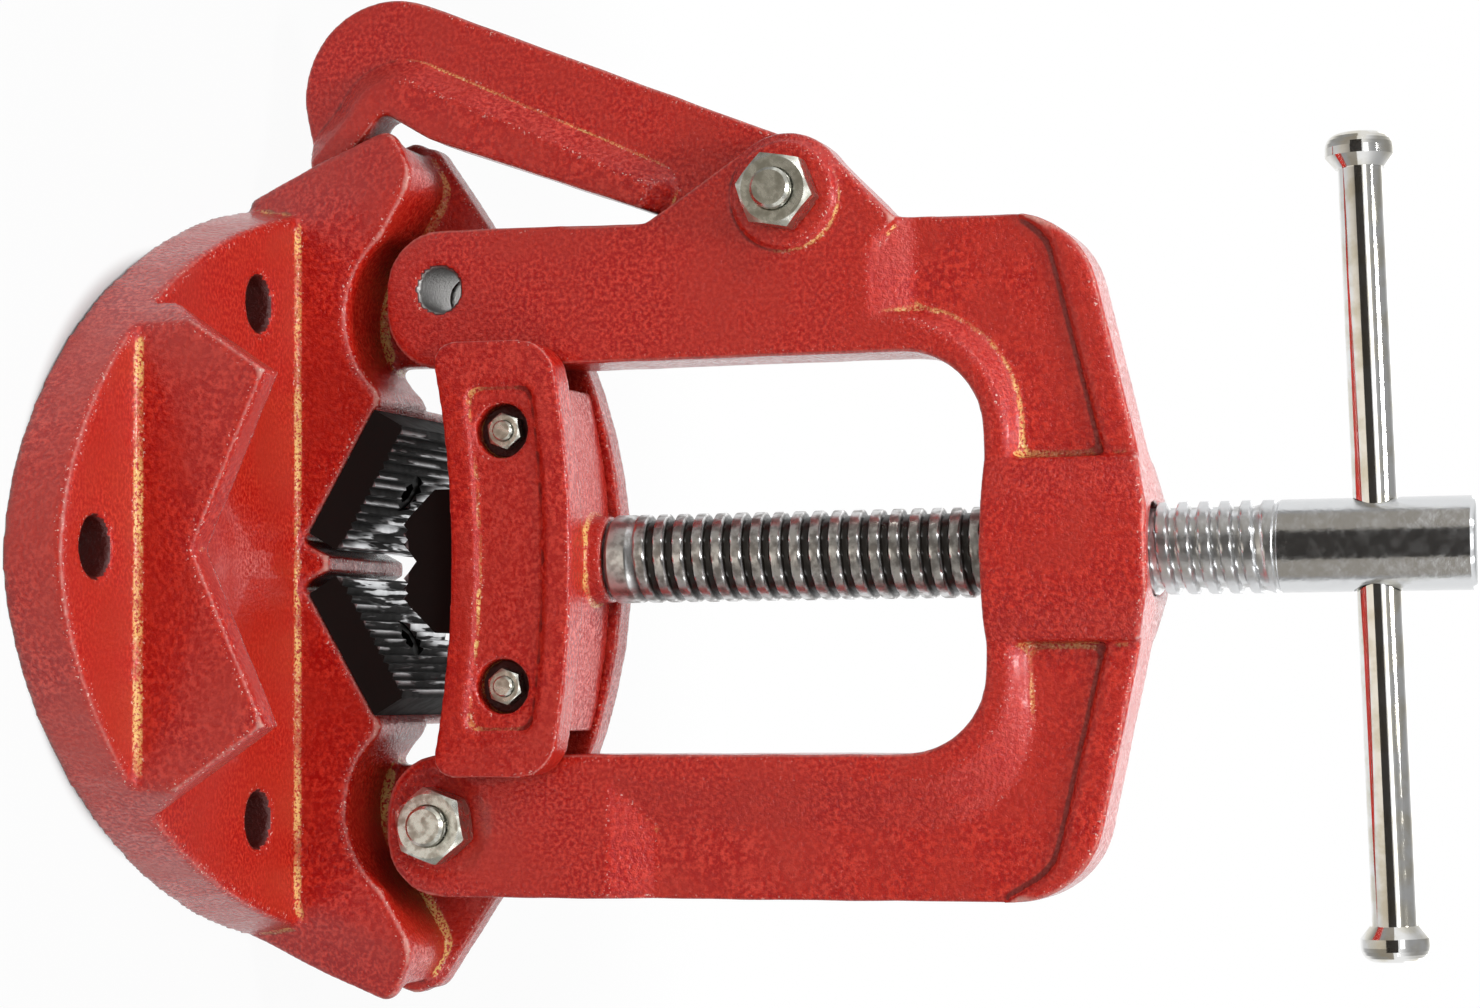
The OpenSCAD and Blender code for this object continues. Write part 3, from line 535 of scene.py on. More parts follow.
@dataclass(frozen=True)
class ScrewFinish:
    """Turned steel: black oil in the grooves below the crown, pale plate above it, a polished head."""

    bare: Color = (0.70, 0.70, 0.70, 1.0)
    stain: Color = (0.16, 0.145, 0.13, 1.0)
    plate: Color = (0.70, 0.71, 0.72, 1.0)
    oil: Color = (0.012, 0.009, 0.007, 1.0)
    dust: Color = (0.40, 0.39, 0.37, 1.0)
    stain_share: float = 0.75
    dust_share: float = 0.55
    oil_fade: Span = (8.0 * MM, 6.0 * MM)
    head_fade: float = 1.0 * MM
    crest_from: float = 0.35
    crest_land: float = 0.12 * MM
    mark_scale: float = 700.0
    mark_strength: float = 0.5
    mark_depth: float = 0.10 * MM
    smudge_scale: float = 380.0
    roughness: float = 0.14
    thread_roughness: float = 0.14
    smudge_roughness: float = 0.10

    def make(self, effects: Effects, root_r: float, crest_r: float, oil_z: Span,
             head_z: float) -> bpy.types.Material:
        """Build the material.

        Args:
            effects: the shared groups.
            root_r: radius at the bottom of the thread.
            crest_r: radius of the crests.
            oil_z: heights between which the grooves hold oil.
            head_z: height where the plain head starts.

        Returns:
            The material.
        """
        material, tree, shader = new_finish("turned_steel")
        marks = effects.place(tree, effects.marks, Across=self.mark_scale, Along=self.mark_scale,
                              Smudge=self.smudge_scale)
        place = tree.add("ShaderNodeSeparateXYZ", {0: tree.here()}).outputs
        flat = tree.add("ShaderNodeCombineXYZ", {0: place["X"], 1: place["Y"]}).outputs[0]
        radius = tree.add("ShaderNodeVectorMath", {0: flat}, operation="LENGTH").outputs["Value"]
        raised = tree.step(radius, root_r + self.crest_from * (crest_r - root_r), crest_r - self.crest_land)
        depth = tree.math("SUBTRACT", 1.0, raised)
        above_oil = tree.step(place["Z"], oil_z[1], oil_z[1] + self.oil_fade[1])
        oily = tree.math("MULTIPLY", tree.step(place["Z"], oil_z[0] - self.oil_fade[0], oil_z[0]),
                         tree.math("SUBTRACT", 1.0, above_oil))
        oil = tree.math("MULTIPLY", depth, oily)
        threaded = tree.math("SUBTRACT", 1.0, tree.step(place["Z"], head_z - self.head_fade, head_z))
        grime = tree.math("MULTIPLY", tree.math("MULTIPLY", depth, threaded), marks["Smudge"])
        rubbed = tree.mix(tree.math("MULTIPLY", marks["Smudge"], self.stain_share), self.bare, self.stain)
        metal = tree.mix(oily, self.plate, rubbed)
        metal = tree.mix(tree.math("MULTIPLY", grime, self.dust_share), metal, self.dust)
        tree.feed(shader.inputs["Base Color"], tree.mix(oil, metal, self.oil))
        tree.feed(shader.inputs["Metallic"], tree.math("SUBTRACT", 1.0, oil))
        rough = tree.math("MULTIPLY_ADD", threaded, self.thread_roughness, self.roughness)
        rough = tree.math("MULTIPLY_ADD", marks["Smudge"], self.smudge_roughness, rough)
        tree.feed(shader.inputs["Roughness"], rough)
        raise_grain(tree, shader, marks["Marks"], self.mark_strength, self.mark_depth)
        return material


def solid_points(node: str) -> np.ndarray:
    """Read the corner points of a CAD node.

    Args:
        node: the node's name.

    Returns:
        The points, one row each.
    """
    mesh = frame["nodes"][node].data
    points = np.zeros(len(mesh.vertices) * 3)
    mesh.vertices.foreach_get("co", points)
    return points.reshape(-1, 3)


def joint_place(name: str) -> Vector:
    """Return the point that a joint turns about."""
    return next(Vector(joint["pos_m"]) for joint in frame["joints"] if joint["name"] == name)


def add_piece(name: str, mesh: bpy.types.Mesh) -> bpy.types.Object:
    """Put a mesh into the scene as a new piece.

    Args:
        name: the piece's name.
        mesh: its mesh.

    Returns:
        The piece.
    """
    piece = bpy.data.objects.new(name, mesh)
    bpy.context.scene.collection.objects.link(piece)
    return piece


def dress(piece: bpy.types.Object, body: str, slot: Slot, finish: bpy.types.Material, *nodes: str) -> None:
    """Give a new piece its finish, its body and the CAD nodes that it stands for.

    Args:
        piece: the piece to dress.
        body: the body that it rides on.
        slot: the record's finish that it wears; not used.
        finish: its material.
        nodes: the CAD nodes that it replaces.
    """
    piece.data.materials.clear()
    piece.data.materials.append(finish)
    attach(piece, body)
    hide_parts(*nodes)
    log.info("piece %s on %s, %d faces", piece.name, body, len(piece.data.polygons))


def dress_node(node: str, finish: bpy.types.Material) -> None:
    """Give a CAD node that stays in sight its finish.

    Args:
        node: the node's name.
        finish: its material.
    """
    piece = frame["nodes"][node]
    for slot in piece.material_slots:
        slot.material = finish
    log.info("node %s dressed", node)


def baked(piece: bpy.types.Object) -> bpy.types.Mesh:
    """Apply a piece's modifiers and take the piece away.

    Args:
        piece: the piece with its modifiers.

    Returns:
        The finished mesh.
    """
    graph = bpy.context.evaluated_depsgraph_get()
    mesh = bpy.data.meshes.new_from_object(piece.evaluated_get(graph))
    bpy.data.objects.remove(piece)
    return mesh


def relax(points: np.ndarray, edges: np.ndarray, passes: int, strength: float) -> np.ndarray:
    """Move points towards the middle of their neighbours.

    Args:
        points: one row for each point.
        edges: the two ends of each edge.
        passes: how often the points move.
        strength: share of the way that they go each time.

    Returns:
        The moved points.
    """
    ends = np.concatenate([edges[:, 0], edges[:, 1]])
    others = np.concatenate([edges[:, 1], edges[:, 0]])
    count = np.bincount(ends, minlength=len(points)).clip(1)
    for _ in range(passes):
        middle = np.stack([np.bincount(ends, points[others, axis], len(points)) / count
                           for axis in range(points.shape[1])], axis=1)
        points = points + strength * (middle - points)
    return points


@dataclass(frozen=True)
class Bore:
    """A straight hole through a casting: a point on its axis, the axis' direction and its radius."""

    place: Vector
    axis: Vector
    radius: float
    wall: Hole = Hole.PAINTED_SHADE

    def marks(self, points: np.ndarray) -> np.ndarray:
        """Mark the points of a casting that lie in the hole.

        Args:
            points: the casting's points, one row each.

        Returns:
            The wall's value for each point inside the hole or on its wall, and 0 for the rest.
        """
        off = points - np.array(self.place)
        along = off @ np.array(self.axis)
        inside = np.sum(off ** 2, axis=1) - along ** 2 < self.radius ** 2
        return (self.wall.value * inside).astype(np.float32)


@dataclass(frozen=True)
class SandMould:
    """How a casting's skin follows its solid: rounded edges, filled creases and a slightly uneven face."""

    voxel: float = 1.0 * MM
    passes: int = 5
    swell: float = 0.16 * MM
    swell_scale: float = 110.0
    keep: float = 0.40
    square_edge: float = 2.5
    weld: float = 0.002 * MM
    soften: float = 0.5

    def skin(self, node: str, name: str, bores: Sequence[Bore] = ()) -> bpy.types.Object:
        """Cast one node.

        Args:
            node: the CAD node to follow.
            name: the new piece's name.
            bores: the holes whose walls differ from the enamel outside.

        Returns:
            The piece, with the point attributes "bend", about 1 on a square edge and -1 in a square crease,
            and "bore", the value of the hole's wall.
        """
        shape = bmesh.new()
        shape.from_mesh(frame["nodes"][node].data)
        bmesh.ops.remove_doubles(shape, verts=shape.verts, dist=self.weld)
        mesh = bpy.data.meshes.new(name)
        shape.to_mesh(mesh)
        shape.free()
        blank = add_piece(name, mesh)
        remesh = blank.modifiers.new("sand", "REMESH")
        remesh.mode = "VOXEL"
        remesh.voxel_size = self.voxel
        mesh = baked(blank)
        self.round_over(mesh, bores)
        rough = add_piece(name, mesh)
        rough.modifiers.new("thin", "DECIMATE").ratio = self.keep
        mesh = baked(rough)
        mesh.shade_smooth()
        return add_piece(name, mesh)

    def round_over(self, mesh: bpy.types.Mesh, bores: Sequence[Bore]) -> None:
        """Round a mesh, swell it unevenly, and keep how sharply it bends and where its holes are.

        Args:
            mesh: the casting's mesh, which is changed.
            bores: the holes to mark.
        """
        points = np.zeros(len(mesh.vertices) * 3)
        mesh.vertices.foreach_get("co", points)
        edges = np.zeros(len(mesh.edges) * 2, dtype=np.int64)
        mesh.edges.foreach_get("vertices", edges)
        edges = edges.reshape(-1, 2)
        points = relax(points.reshape(-1, 3), edges, self.passes, self.soften)
        mesh.vertices.foreach_set("co", points.ravel())
        mesh.update()
        normals = np.zeros(len(points) * 3)
        mesh.vertex_normals.foreach_get("vector", normals)
        normals = normals.reshape(-1, 3)
        sag = relax(points, edges, 1, 1.0) - points
        bend = -np.sum(sag * normals, axis=1) / self.voxel * self.square_edge * math.sqrt(self.passes)
        bend = relax(bend[:, None], edges, 1, self.soften)[:, 0]
        lift = np.array([noise.noise(Vector(point) * self.swell_scale) for point in points])
        points = points + normals * (lift * self.swell)[:, None]
        mesh.vertices.foreach_set("co", points.ravel())
        mesh.attributes.new("bend", "FLOAT", "POINT").data.foreach_set("value", bend.astype(np.float32))
        drilled = sum((bore.marks(points) for bore in bores), np.zeros(len(points), dtype=np.float32))
        mesh.attributes.new("bore", "FLOAT", "POINT").data.foreach_set("value", drilled)
        mesh.update()


def ring(radius: Callable[[float], float], height: Callable[[float], float], segments: int) -> list[Vector]:
    """Return one ring of points about Z, whose radius and height may change round it."""
    angles = [TURN * i / segments for i in range(segments)]
    return [Vector((radius(a) * math.cos(a), radius(a) * math.sin(a), height(a))) for a in angles]


def level_ring(radius: float, height: float, segments: int) -> list[Vector]:
    """Return one round, level ring of points about Z."""
    return ring(lambda a: radius, lambda a: height, segments)


def loft(name: str, rings: Sequence[Sequence[Vector]], ring_shaped: bool = False) -> bpy.types.Mesh:
    """Join rings of points into a closed mesh.

    Args:
        name: the mesh's name.
        rings: rings with the same number of points, in order.
        ring_shaped: join the last ring to the first instead of capping both.

    Returns:
        The mesh, smooth apart from its sharp edges.
    """
    shape = bmesh.new()
    made = [[shape.verts.new(point) for point in points] for points in rings]
    count = len(made[0])
    pairs = list(zip(made, made[1:]))
    if ring_shaped:
        pairs.append((made[-1], made[0]))
    for low, high in pairs:
        for i in range(count):
            j = (i + 1) % count
            shape.faces.new((low[i], low[j], high[j], high[i]))
    if not ring_shaped:
        shape.faces.new(list(reversed(made[0])))
        shape.faces.new(made[-1])
    bmesh.ops.recalc_face_normals(shape, faces=shape.faces)
    mesh = bpy.data.meshes.new(name)
    shape.to_mesh(mesh)
    shape.free()
    mesh.shade_smooth()
    mesh.set_sharp_from_angle(angle=SHARP)
    return mesh


def turned(name: str, profile: Profile, segments: int = 64) -> bpy.types.Mesh:
    """Turn a profile of radius and height about Z into a closed mesh."""
    return loft(name, [level_ring(radius, height, segments) for radius, height in profile])


@dataclass(frozen=True)
class Thread:
    """A right-hand thread with flat crests and roots."""

    crest_r: float
    depth: float
    pitch: float
    root_share: float = 0.42
    flank_share: float = 0.14
    segments: int = 72
    rings_per_turn: int = 14
    least_rings: int = 4

    def groove(self, turn: float) -> float:
        """Work out how deep the groove is.

        Args:
            turn: place along the thread, in turns.

        Returns:
            The depth, from 0 on the crest to 1 at the root.
        """
        inward = abs((turn % 1.0) - 0.5) / 0.5
        low = 1.0 - self.root_share - self.flank_share
        across = min(max((inward - low) / (2.0 * self.flank_share), 0.0), 1.0)
        return across * across * (3.0 - 2.0 * across)

    def rings(self, start: float, end: float, fade: float) -> list[list[Vector]]:
        """Return the rings of a threaded length.

        Args:
            start: height of the first ring.
            end: height of the last ring.
            fade: length over which the groove runs out at each end.

        Returns:
            The rings, from start to end.
        """
        count = max(self.least_rings, round((end - start) / self.pitch * self.rings_per_turn))
        rings = []
        for i in range(count + 1):
            height = start + (end - start) * i / count
            share = min(1.0, (height - start) / fade, (end - height) / fade)
            cut = self.depth * max(0.0, share)
            rings.append(ring(lambda a: self.crest_r - cut * self.groove(height / self.pitch - a / TURN),
                              lambda a: height, self.segments))
        return rings


@dataclass(frozen=True)
class Hexagon:
    """A hexagon across its flats, with the corners turned off on a cone."""

    across: float
    spin: float = 0.0
    cone: float = math.radians(30.0)
    face_share: float = 0.47

    @property
    def face_r(self) -> float:
        """Radius of the round face that the cone leaves."""
        return self.face_share * self.across

    def reach(self, angle: float) -> float:
        """Return the distance from the middle to the edge at an angle."""
        off = (angle - self.spin + TURN / 12.0) % (TURN / 6.0) - TURN / 12.0
        return 0.5 * self.across / math.cos(TURN / 12.0 - abs(off))

    def rim(self, height: float, fall: float, segments: int) -> list[Vector]:
        """Return the hexagon's edge at a height, where fall is 1 or -1 on a turned-off side, or else 0."""
        slope = fall * math.tan(self.cone)
        return ring(self.reach, lambda a: height - slope * (self.reach(a) - self.face_r), segments)


@dataclass(frozen=True)
class HexNut:
    """A hexagon nut, chamfered on both sides, with a countersunk hole."""

    hexagon: Hexagon
    height: float
    hole_r: float
    segments: int = 72
    lead_share: float = 0.08

    def mesh(self, name: str) -> bpy.types.Mesh:
        """Build the nut from height 0 up.

        Args:
            name: the mesh's name.

        Returns:
            The mesh.
        """
        lead = self.lead_share * self.hole_r
        face = self.hexagon.face_r
        count = self.segments
        rings = [level_ring(self.hole_r + lead, 0.0, count), level_ring(face, 0.0, count),
                 self.hexagon.rim(0.0, -1.0, count), self.hexagon.rim(self.height, 1.0, count),
                 level_ring(face, self.height, count), level_ring(self.hole_r + lead, self.height, count),
                 level_ring(self.hole_r, self.height - lead, count), level_ring(self.hole_r, lead, count)]
        return loft(name, rings, ring_shaped=True)


@dataclass(frozen=True)
class HexBolt:
    """A hexagon bolt with a threaded end."""

    hexagon: Hexagon
    head_h: float
    length: float
    thread: Thread
    thread_l: float
    tip_share: float = 0.9

    def mesh(self, name: str) -> bpy.types.Mesh:
        """Build the bolt, with its head below height 0 and its shank above.

        Args:
            name: the mesh's name.

        Returns:
            The mesh.
        """
        count = self.thread.segments
        radius = self.thread.crest_r
        tip = self.tip_share * self.thread.depth
        start = self.length - self.thread_l
        rings = [level_ring(self.hexagon.face_r, -self.head_h, count),
                 self.hexagon.rim(-self.head_h, -1.0, count), self.hexagon.rim(0.0, 0.0, count),
                 level_ring(radius, 0.0, count)]
        rings += self.thread.rings(start, self.length - tip, self.thread.pitch)
        rings += [level_ring(radius - tip, self.length, count)]
        return loft(name, rings)


def facing_front(mesh: bpy.types.Mesh, places: Sequence[Vector]) -> bpy.types.Mesh:
    """Lay a mesh that was built along Z along Y, its top to the front, once at each place.

    Args:
        mesh: the mesh to lay down.
        places: where its zero goes.

    Returns:
        One mesh that holds all the copies.
    """
    shape = bmesh.new()
    for place in places:
        copy = mesh.copy()
        copy.transform(Matrix.Translation(place) @ Matrix.Rotation(TURN / 4.0, 4, "X"))
        shape.from_mesh(copy)
        bpy.data.meshes.remove(copy)
    shape.to_mesh(mesh)
    shape.free()
    return mesh


@dataclass(frozen=True)
class BoltSize:
    """A metric bolt's thread diameter and pitch, and the height of its head."""

    thread_d: float
    pitch: float
    head_h: float


M10 = BoltSize(10.0 * MM, 1.5 * MM, 6.4 * MM)
M5 = BoltSize(5.0 * MM, 0.8 * MM, 3.5 * MM)


@dataclass
class Fastening:
    """Bolts along Y with their heads at the back and their nuts in front, all on their CAD places."""

    bolt: str
    nut: str
    body: str
    places: Sequence[Vector]
    nut_spin: float
    size: BoltSize
    depth_share: float = 0.55
    own_reach: float = 1.5
    segments: int = 48
    rings_per_turn: int = 8

    def span(self, node: str) -> tuple[float, float]:
        """Return how far a node reaches along Y."""
        low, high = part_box(node)
        return low.y, high.y

    def across_flats(self) -> float:
        """Measure a nut across flats, from the widest reach of its corners.

        Returns:
            The width.
        """
        axis = self.places[0]
        points = solid_points(self.nut) - np.array((axis.x, 0.0, axis.z))
        reach = np.hypot(points[:, 0], points[:, 2])
        return 2.0 * float(reach[reach < self.own_reach * self.size.thread_d].max()) * math.cos(TURN / 12.0)

    def build(self, finish: bpy.types.Material) -> None:
        """Build and dress the bolts and their nuts.

        Args:
            finish: their material.
        """
        bolt_low, bolt_high = self.span(self.bolt)
        nut_low, nut_high = self.span(self.nut)
        across = self.across_flats()
        radius, pitch, head_h = 0.5 * self.size.thread_d, self.size.pitch, self.size.head_h
        thread = Thread(radius, self.depth_share * pitch, pitch, segments=self.segments,
                        rings_per_turn=self.rings_per_turn)
        seat = bolt_high - head_h
        bolt = HexBolt(Hexagon(across), head_h, seat - bolt_low, thread, nut_high - bolt_low)
        nut = HexNut(Hexagon(across, self.nut_spin), nut_high - nut_low, radius)
        seats = [Vector((place.x, seat, place.z)) for place in self.places]
        bolts = add_piece(f"{self.bolt}_plated", facing_front(bolt.mesh(self.bolt), seats))
        dress(bolts, self.body, Slot.ZINC, finish, self.bolt)
        seats = [Vector((place.x, nut_high, place.z)) for place in self.places]
        nuts = add_piece(f"{self.nut}_plated", facing_front(nut.mesh(self.nut), seats))
        dress(nuts, self.body, Slot.ZINC, finish, self.nut)


@dataclass
class Finishes:
    """Every material of the vise but the screw's."""

    enamel: bpy.types.Material
    zinc: bpy.types.Material
    chrome: bpy.types.Material
    lower_jaw: bpy.types.Material
    upper_jaw: bpy.types.Material


def bench_bores(margin: float = 0.5 * MM) -> list[Bore]:
    """Find the bolt holes in the foot, from the record's mounts.

    Args:
        margin: how far a hole's rounded wall reaches past its radius.

    Returns:
        The holes.
    """
    bores = []
    for mount in frame["record"]["mounts"]:
        radius = mount["dims"].get("hole_r_mm", mount["dims"].get("r_mm", 0.0)) * MM
        spacing = mount["dims"].get("spacing_x_mm", 0.0) * MM
        shifts = (-0.5 * spacing, 0.5 * spacing) if spacing else (0.0,)
        if radius:
            place = Vector(mount["pos_m"])
            bores += [Bore(place + Vector((shift, 0.0, 0.0)), UP, radius + margin) for shift in shifts]
    return bores


def pin_bore(across: float = 68.5 * MM, radius: float = 6.0 * MM) -> Bore:
    """Return the free leg's hole for a loose pin, level with the hinge."""
    place = Vector((-across, 0.0, joint_place("yoke_hinge").z))
    return Bore(place, ALONG_PIPE, radius, Hole.BARE_IRON)


@dataclass
class BaseAssembly:
    """The cast foot with its lower jaws and the hinge bolt."""

    mould: SandMould = SandMould(voxel=0.90 * MM, keep=0.60)
    nut_spin: float = math.radians(9.0)

    def build(self, finishes: Finishes) -> None:
        """Build the casting's skin and the hinge bolt, and dress the jaws.

        Args:
            finishes: the vise's materials.
        """
        # The bolt holes' walls get painted shade; the pin's hole is bare iron.
        skin = self.mould.skin("base_casting", "base_skin", bench_bores() + [pin_bore()])
        dress(skin, "base", Slot.ENAMEL, finishes.enamel, "base_casting")
        for node in ("lower_jaw_left", "lower_jaw_right", "lower_jaw_screws"):
            dress_node(node, finishes.lower_jaw)
        places = [joint_place("yoke_hinge")]
        Fastening("hinge_bolt", "hinge_nut", "base", places, self.nut_spin, M10).build(finishes.zinc)


@dataclass
class YokeAssembly:
    """The cast yoke and the latch's pivot bolt."""

    mould: SandMould = SandMould(voxel=0.80 * MM, keep=0.50)
    nut_spin: float = math.radians(20.0)

    def build(self, finishes: Finishes) -> None:
        """Build the casting's skin and the pivot bolt.

        Args:
            finishes: the vise's materials.
        """
        skin = self.mould.skin("yoke_casting", "yoke_skin", [pin_bore()])
        dress(skin, "yoke", Slot.ENAMEL, finishes.enamel, "yoke_casting")
        places = [joint_place("latch_swing")]
        Fastening("latch_bolt", "latch_nut", "yoke", places, self.nut_spin, M10).build(finishes.zinc)


@dataclass
class LatchAssembly:
    """The swinging hook."""

    mould: SandMould = SandMould(voxel=0.70 * MM, keep=0.45)

    def build(self, finishes: Finishes) -> None:
        """Build the hook's skin."""
        skin = self.mould.skin("latch_hook", "hook_skin")
        dress(skin, "latch", Slot.ENAMEL, finishes.enamel, "latch_hook")


@dataclass
class CarriageAssembly:
    """The sliding carriage with the rear guide plate, the upper jaw and the small bolts."""

    mould: SandMould = SandMould(voxel=0.65 * MM, keep=0.45)
    recess_d: float = 13.5 * MM
    recess_rim: float = 0.2 * MM
    nut_spin: float = math.radians(10.0)

    def bolt_places(self) -> list[Vector]:
        """Find the axes of the two guide bolts.

        Returns:
            A point on each axis, left and right.
        """
        points = solid_points("guide_bolts")
        right = points[points[:, 0] > 0.0]
        middle = 0.5 * (right.min(axis=0) + right.max(axis=0))
        return [Vector((side * middle[0], 0.0, middle[2])) for side in (-1.0, 1.0)]

    def build(self, finishes: Finishes) -> None:
        """Build the two castings' skins and the guide bolts, and dress the rest.

        Args:
            finishes: the vise's materials.
        """
        places = self.bolt_places()
        # Painted shade inside the nut recesses, a little narrower than each recess.
        shade_r = 0.5 * self.recess_d - self.recess_rim
        recesses = [Bore(place, ALONG_PIPE, shade_r) for place in places]
        skin = self.mould.skin("jaw_carriage", "carriage_skin", recesses)
        dress(skin, "carriage", Slot.ENAMEL, finishes.enamel, "jaw_carriage")
        plate = self.mould.skin("rear_guide_plate", "guide_plate_skin")
        dress(plate, "carriage", Slot.ENAMEL, finishes.enamel, "rear_guide_plate")
        dress_node("upper_jaw", finishes.upper_jaw)
        Fastening("guide_bolts", "guide_nuts", "carriage", places, self.nut_spin, M5).build(finishes.zinc)
        for node in ("upper_jaw_pin", "spindle_pins"):
            dress_node(node, finishes.zinc)


@dataclass
class ScrewAssembly:
    """The screw: its journal, a trapezoid thread and the plain drilled head."""

    pitch: float = 5.0 * MM
    depth: float = 1.4 * MM
    journal_d: float = 16.0 * MM
    plain_l: float = 5.5 * MM
    head_l: float = 45.5 * MM
    undercut: float = 0.45 * MM
    hole_d: float = 11.6 * MM
    chamfer: float = 1.2 * MM
    crown_h: float = 40.0 * MM
    support: float = 0.15 * MM
    bulge_share: float = 0.3
    wide_share: float = 0.98

    def foot_rings(self, radius: float, low_z: float, screw_z: float, count: int) -> list[list[Vector]]:
        """Lay out the journal and the chamfer below the thread.

        Args:
            radius: the screw's radius.
            low_z: height of the journal's end.
            screw_z: height where the screw's full width starts.
            count: points on each ring.

        Returns:
            The rings, from the end up.
        """
        journal_r = 0.5 * self.journal_d
        return [level_ring(journal_r, low_z, count), level_ring(journal_r, screw_z, count),
                level_ring(radius - self.chamfer, screw_z, count),
                level_ring(radius, screw_z + self.chamfer, count)]

    def head_rings(self, radius: float, head_z: float, top_z: float, count: int) -> list[list[Vector]]:
        """Lay out the undercut and the plain head with its rounded edge.

        Args:
            radius: the screw's radius.
            head_z: height where the head starts.
            top_z: height of its top.
            count: points on each ring.

        Returns:
            The rings, from the undercut up.
        """
        neck_r = radius - self.undercut
        shoulder_z = top_z - self.chamfer
        bulge = self.bulge_share * self.chamfer
        return [level_ring(neck_r, head_z - 2.0 * self.undercut, count),
                level_ring(neck_r, head_z - self.undercut, count),
                level_ring(radius, head_z, count), level_ring(radius, head_z + self.support, count),
                level_ring(radius, shoulder_z - self.support, count), level_ring(radius, shoulder_z, count),
                level_ring(radius - bulge, top_z - bulge, count),
                level_ring(radius - self.chamfer, top_z, count)]

    def drilled(self, blank: bpy.types.Object, radius: float) -> bpy.types.Mesh:
        """Cut the hole for the handle through the screw's head.

        Args:
            blank: the screw without the hole, which is taken away.
            radius: the screw's radius.

        Returns:
            The drilled screw's mesh.
        """
        handle_low, handle_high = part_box("handle_bar")
        hole_z = 0.5 * (handle_low.z + handle_high.z)
        drill = turned("drill", [(0.5 * self.hole_d, -2.0 * radius), (0.5 * self.hole_d, 2.0 * radius)])
        drill.transform(Matrix.Translation((0.0, 0.0, hole_z)) @ Matrix.Rotation(TURN / 4.0, 4, "Y"))
        cutter = add_piece("drill", drill)
        drilling = blank.modifiers.new("hole", "BOOLEAN")
        drilling.operation = "DIFFERENCE"
        drilling.solver = "EXACT"
        drilling.object = cutter
        mesh = baked(blank)
        bpy.data.objects.remove(cutter)
        mesh.shade_smooth()
        mesh.set_sharp_from_angle(angle=SHARP)
        return mesh

    def build(self, effects: Effects) -> None:
        """Build the screw and dress it.

        Args:
            effects: the shared groups.
        """
        low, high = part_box("spindle")
        radius = high.x
        points = solid_points("spindle")
        wide = points[np.hypot(points[:, 0], points[:, 1]) > self.wide_share * radius]
        screw_z = float(wide[:, 2].min())
        thread_z = screw_z + self.plain_l
        head_z = high.z - self.head_l
        thread = Thread(radius, self.depth, self.pitch)
        rings = self.foot_rings(radius, low.z, screw_z, thread.segments)
        rings += thread.rings(thread_z, head_z - 3.0 * self.undercut, self.pitch)
        rings += self.head_rings(radius, head_z, high.z, thread.segments)
        blank = add_piece("screw_blank", loft("screw_threaded", rings))
        screw = add_piece("screw_threaded", self.drilled(blank, radius))
        crown_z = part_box("yoke_casting")[1].z - 0.5 * self.crown_h
        finish = ScrewFinish().make(effects, radius - self.depth, radius, (thread_z, crown_z), head_z)
        dress(screw, "screw", Slot.SCREW, finish, "spindle")


@dataclass
class HandleAssembly:
    """The loose T-handle with its two knobs."""

    def build(self, finishes: Finishes) -> None:
        """Dress the bar and the knobs."""
        for node in ("handle_bar", "handle_knob_left", "handle_knob_right"):
            dress_node(node, finishes.chrome)


@dataclass(frozen=True)
class Lamp:
    """A rectangular light that looks at the middle of the vise, of a power in watts."""

    name: str
    place: tuple[float, float, float]
    size: Span
    power: float

    def hang(self, target: Vector) -> None:
        """Hang the light where the camera doesn't see it.

        Args:
            target: the point that it looks at.
        """
        light = bpy.data.lights.new(self.name, "AREA")
        light.shape = "RECTANGLE"
        light.size, light.size_y = self.size
        light.energy = self.power
        holder = bpy.data.objects.new(self.name, light)
        holder.visible_camera = False
        bpy.context.scene.collection.objects.link(holder)
        aim = (target - Vector(self.place)).to_track_quat("-Z", "Y")
        holder.matrix_world = Matrix.Translation(self.place) @ aim.to_matrix().to_4x4()


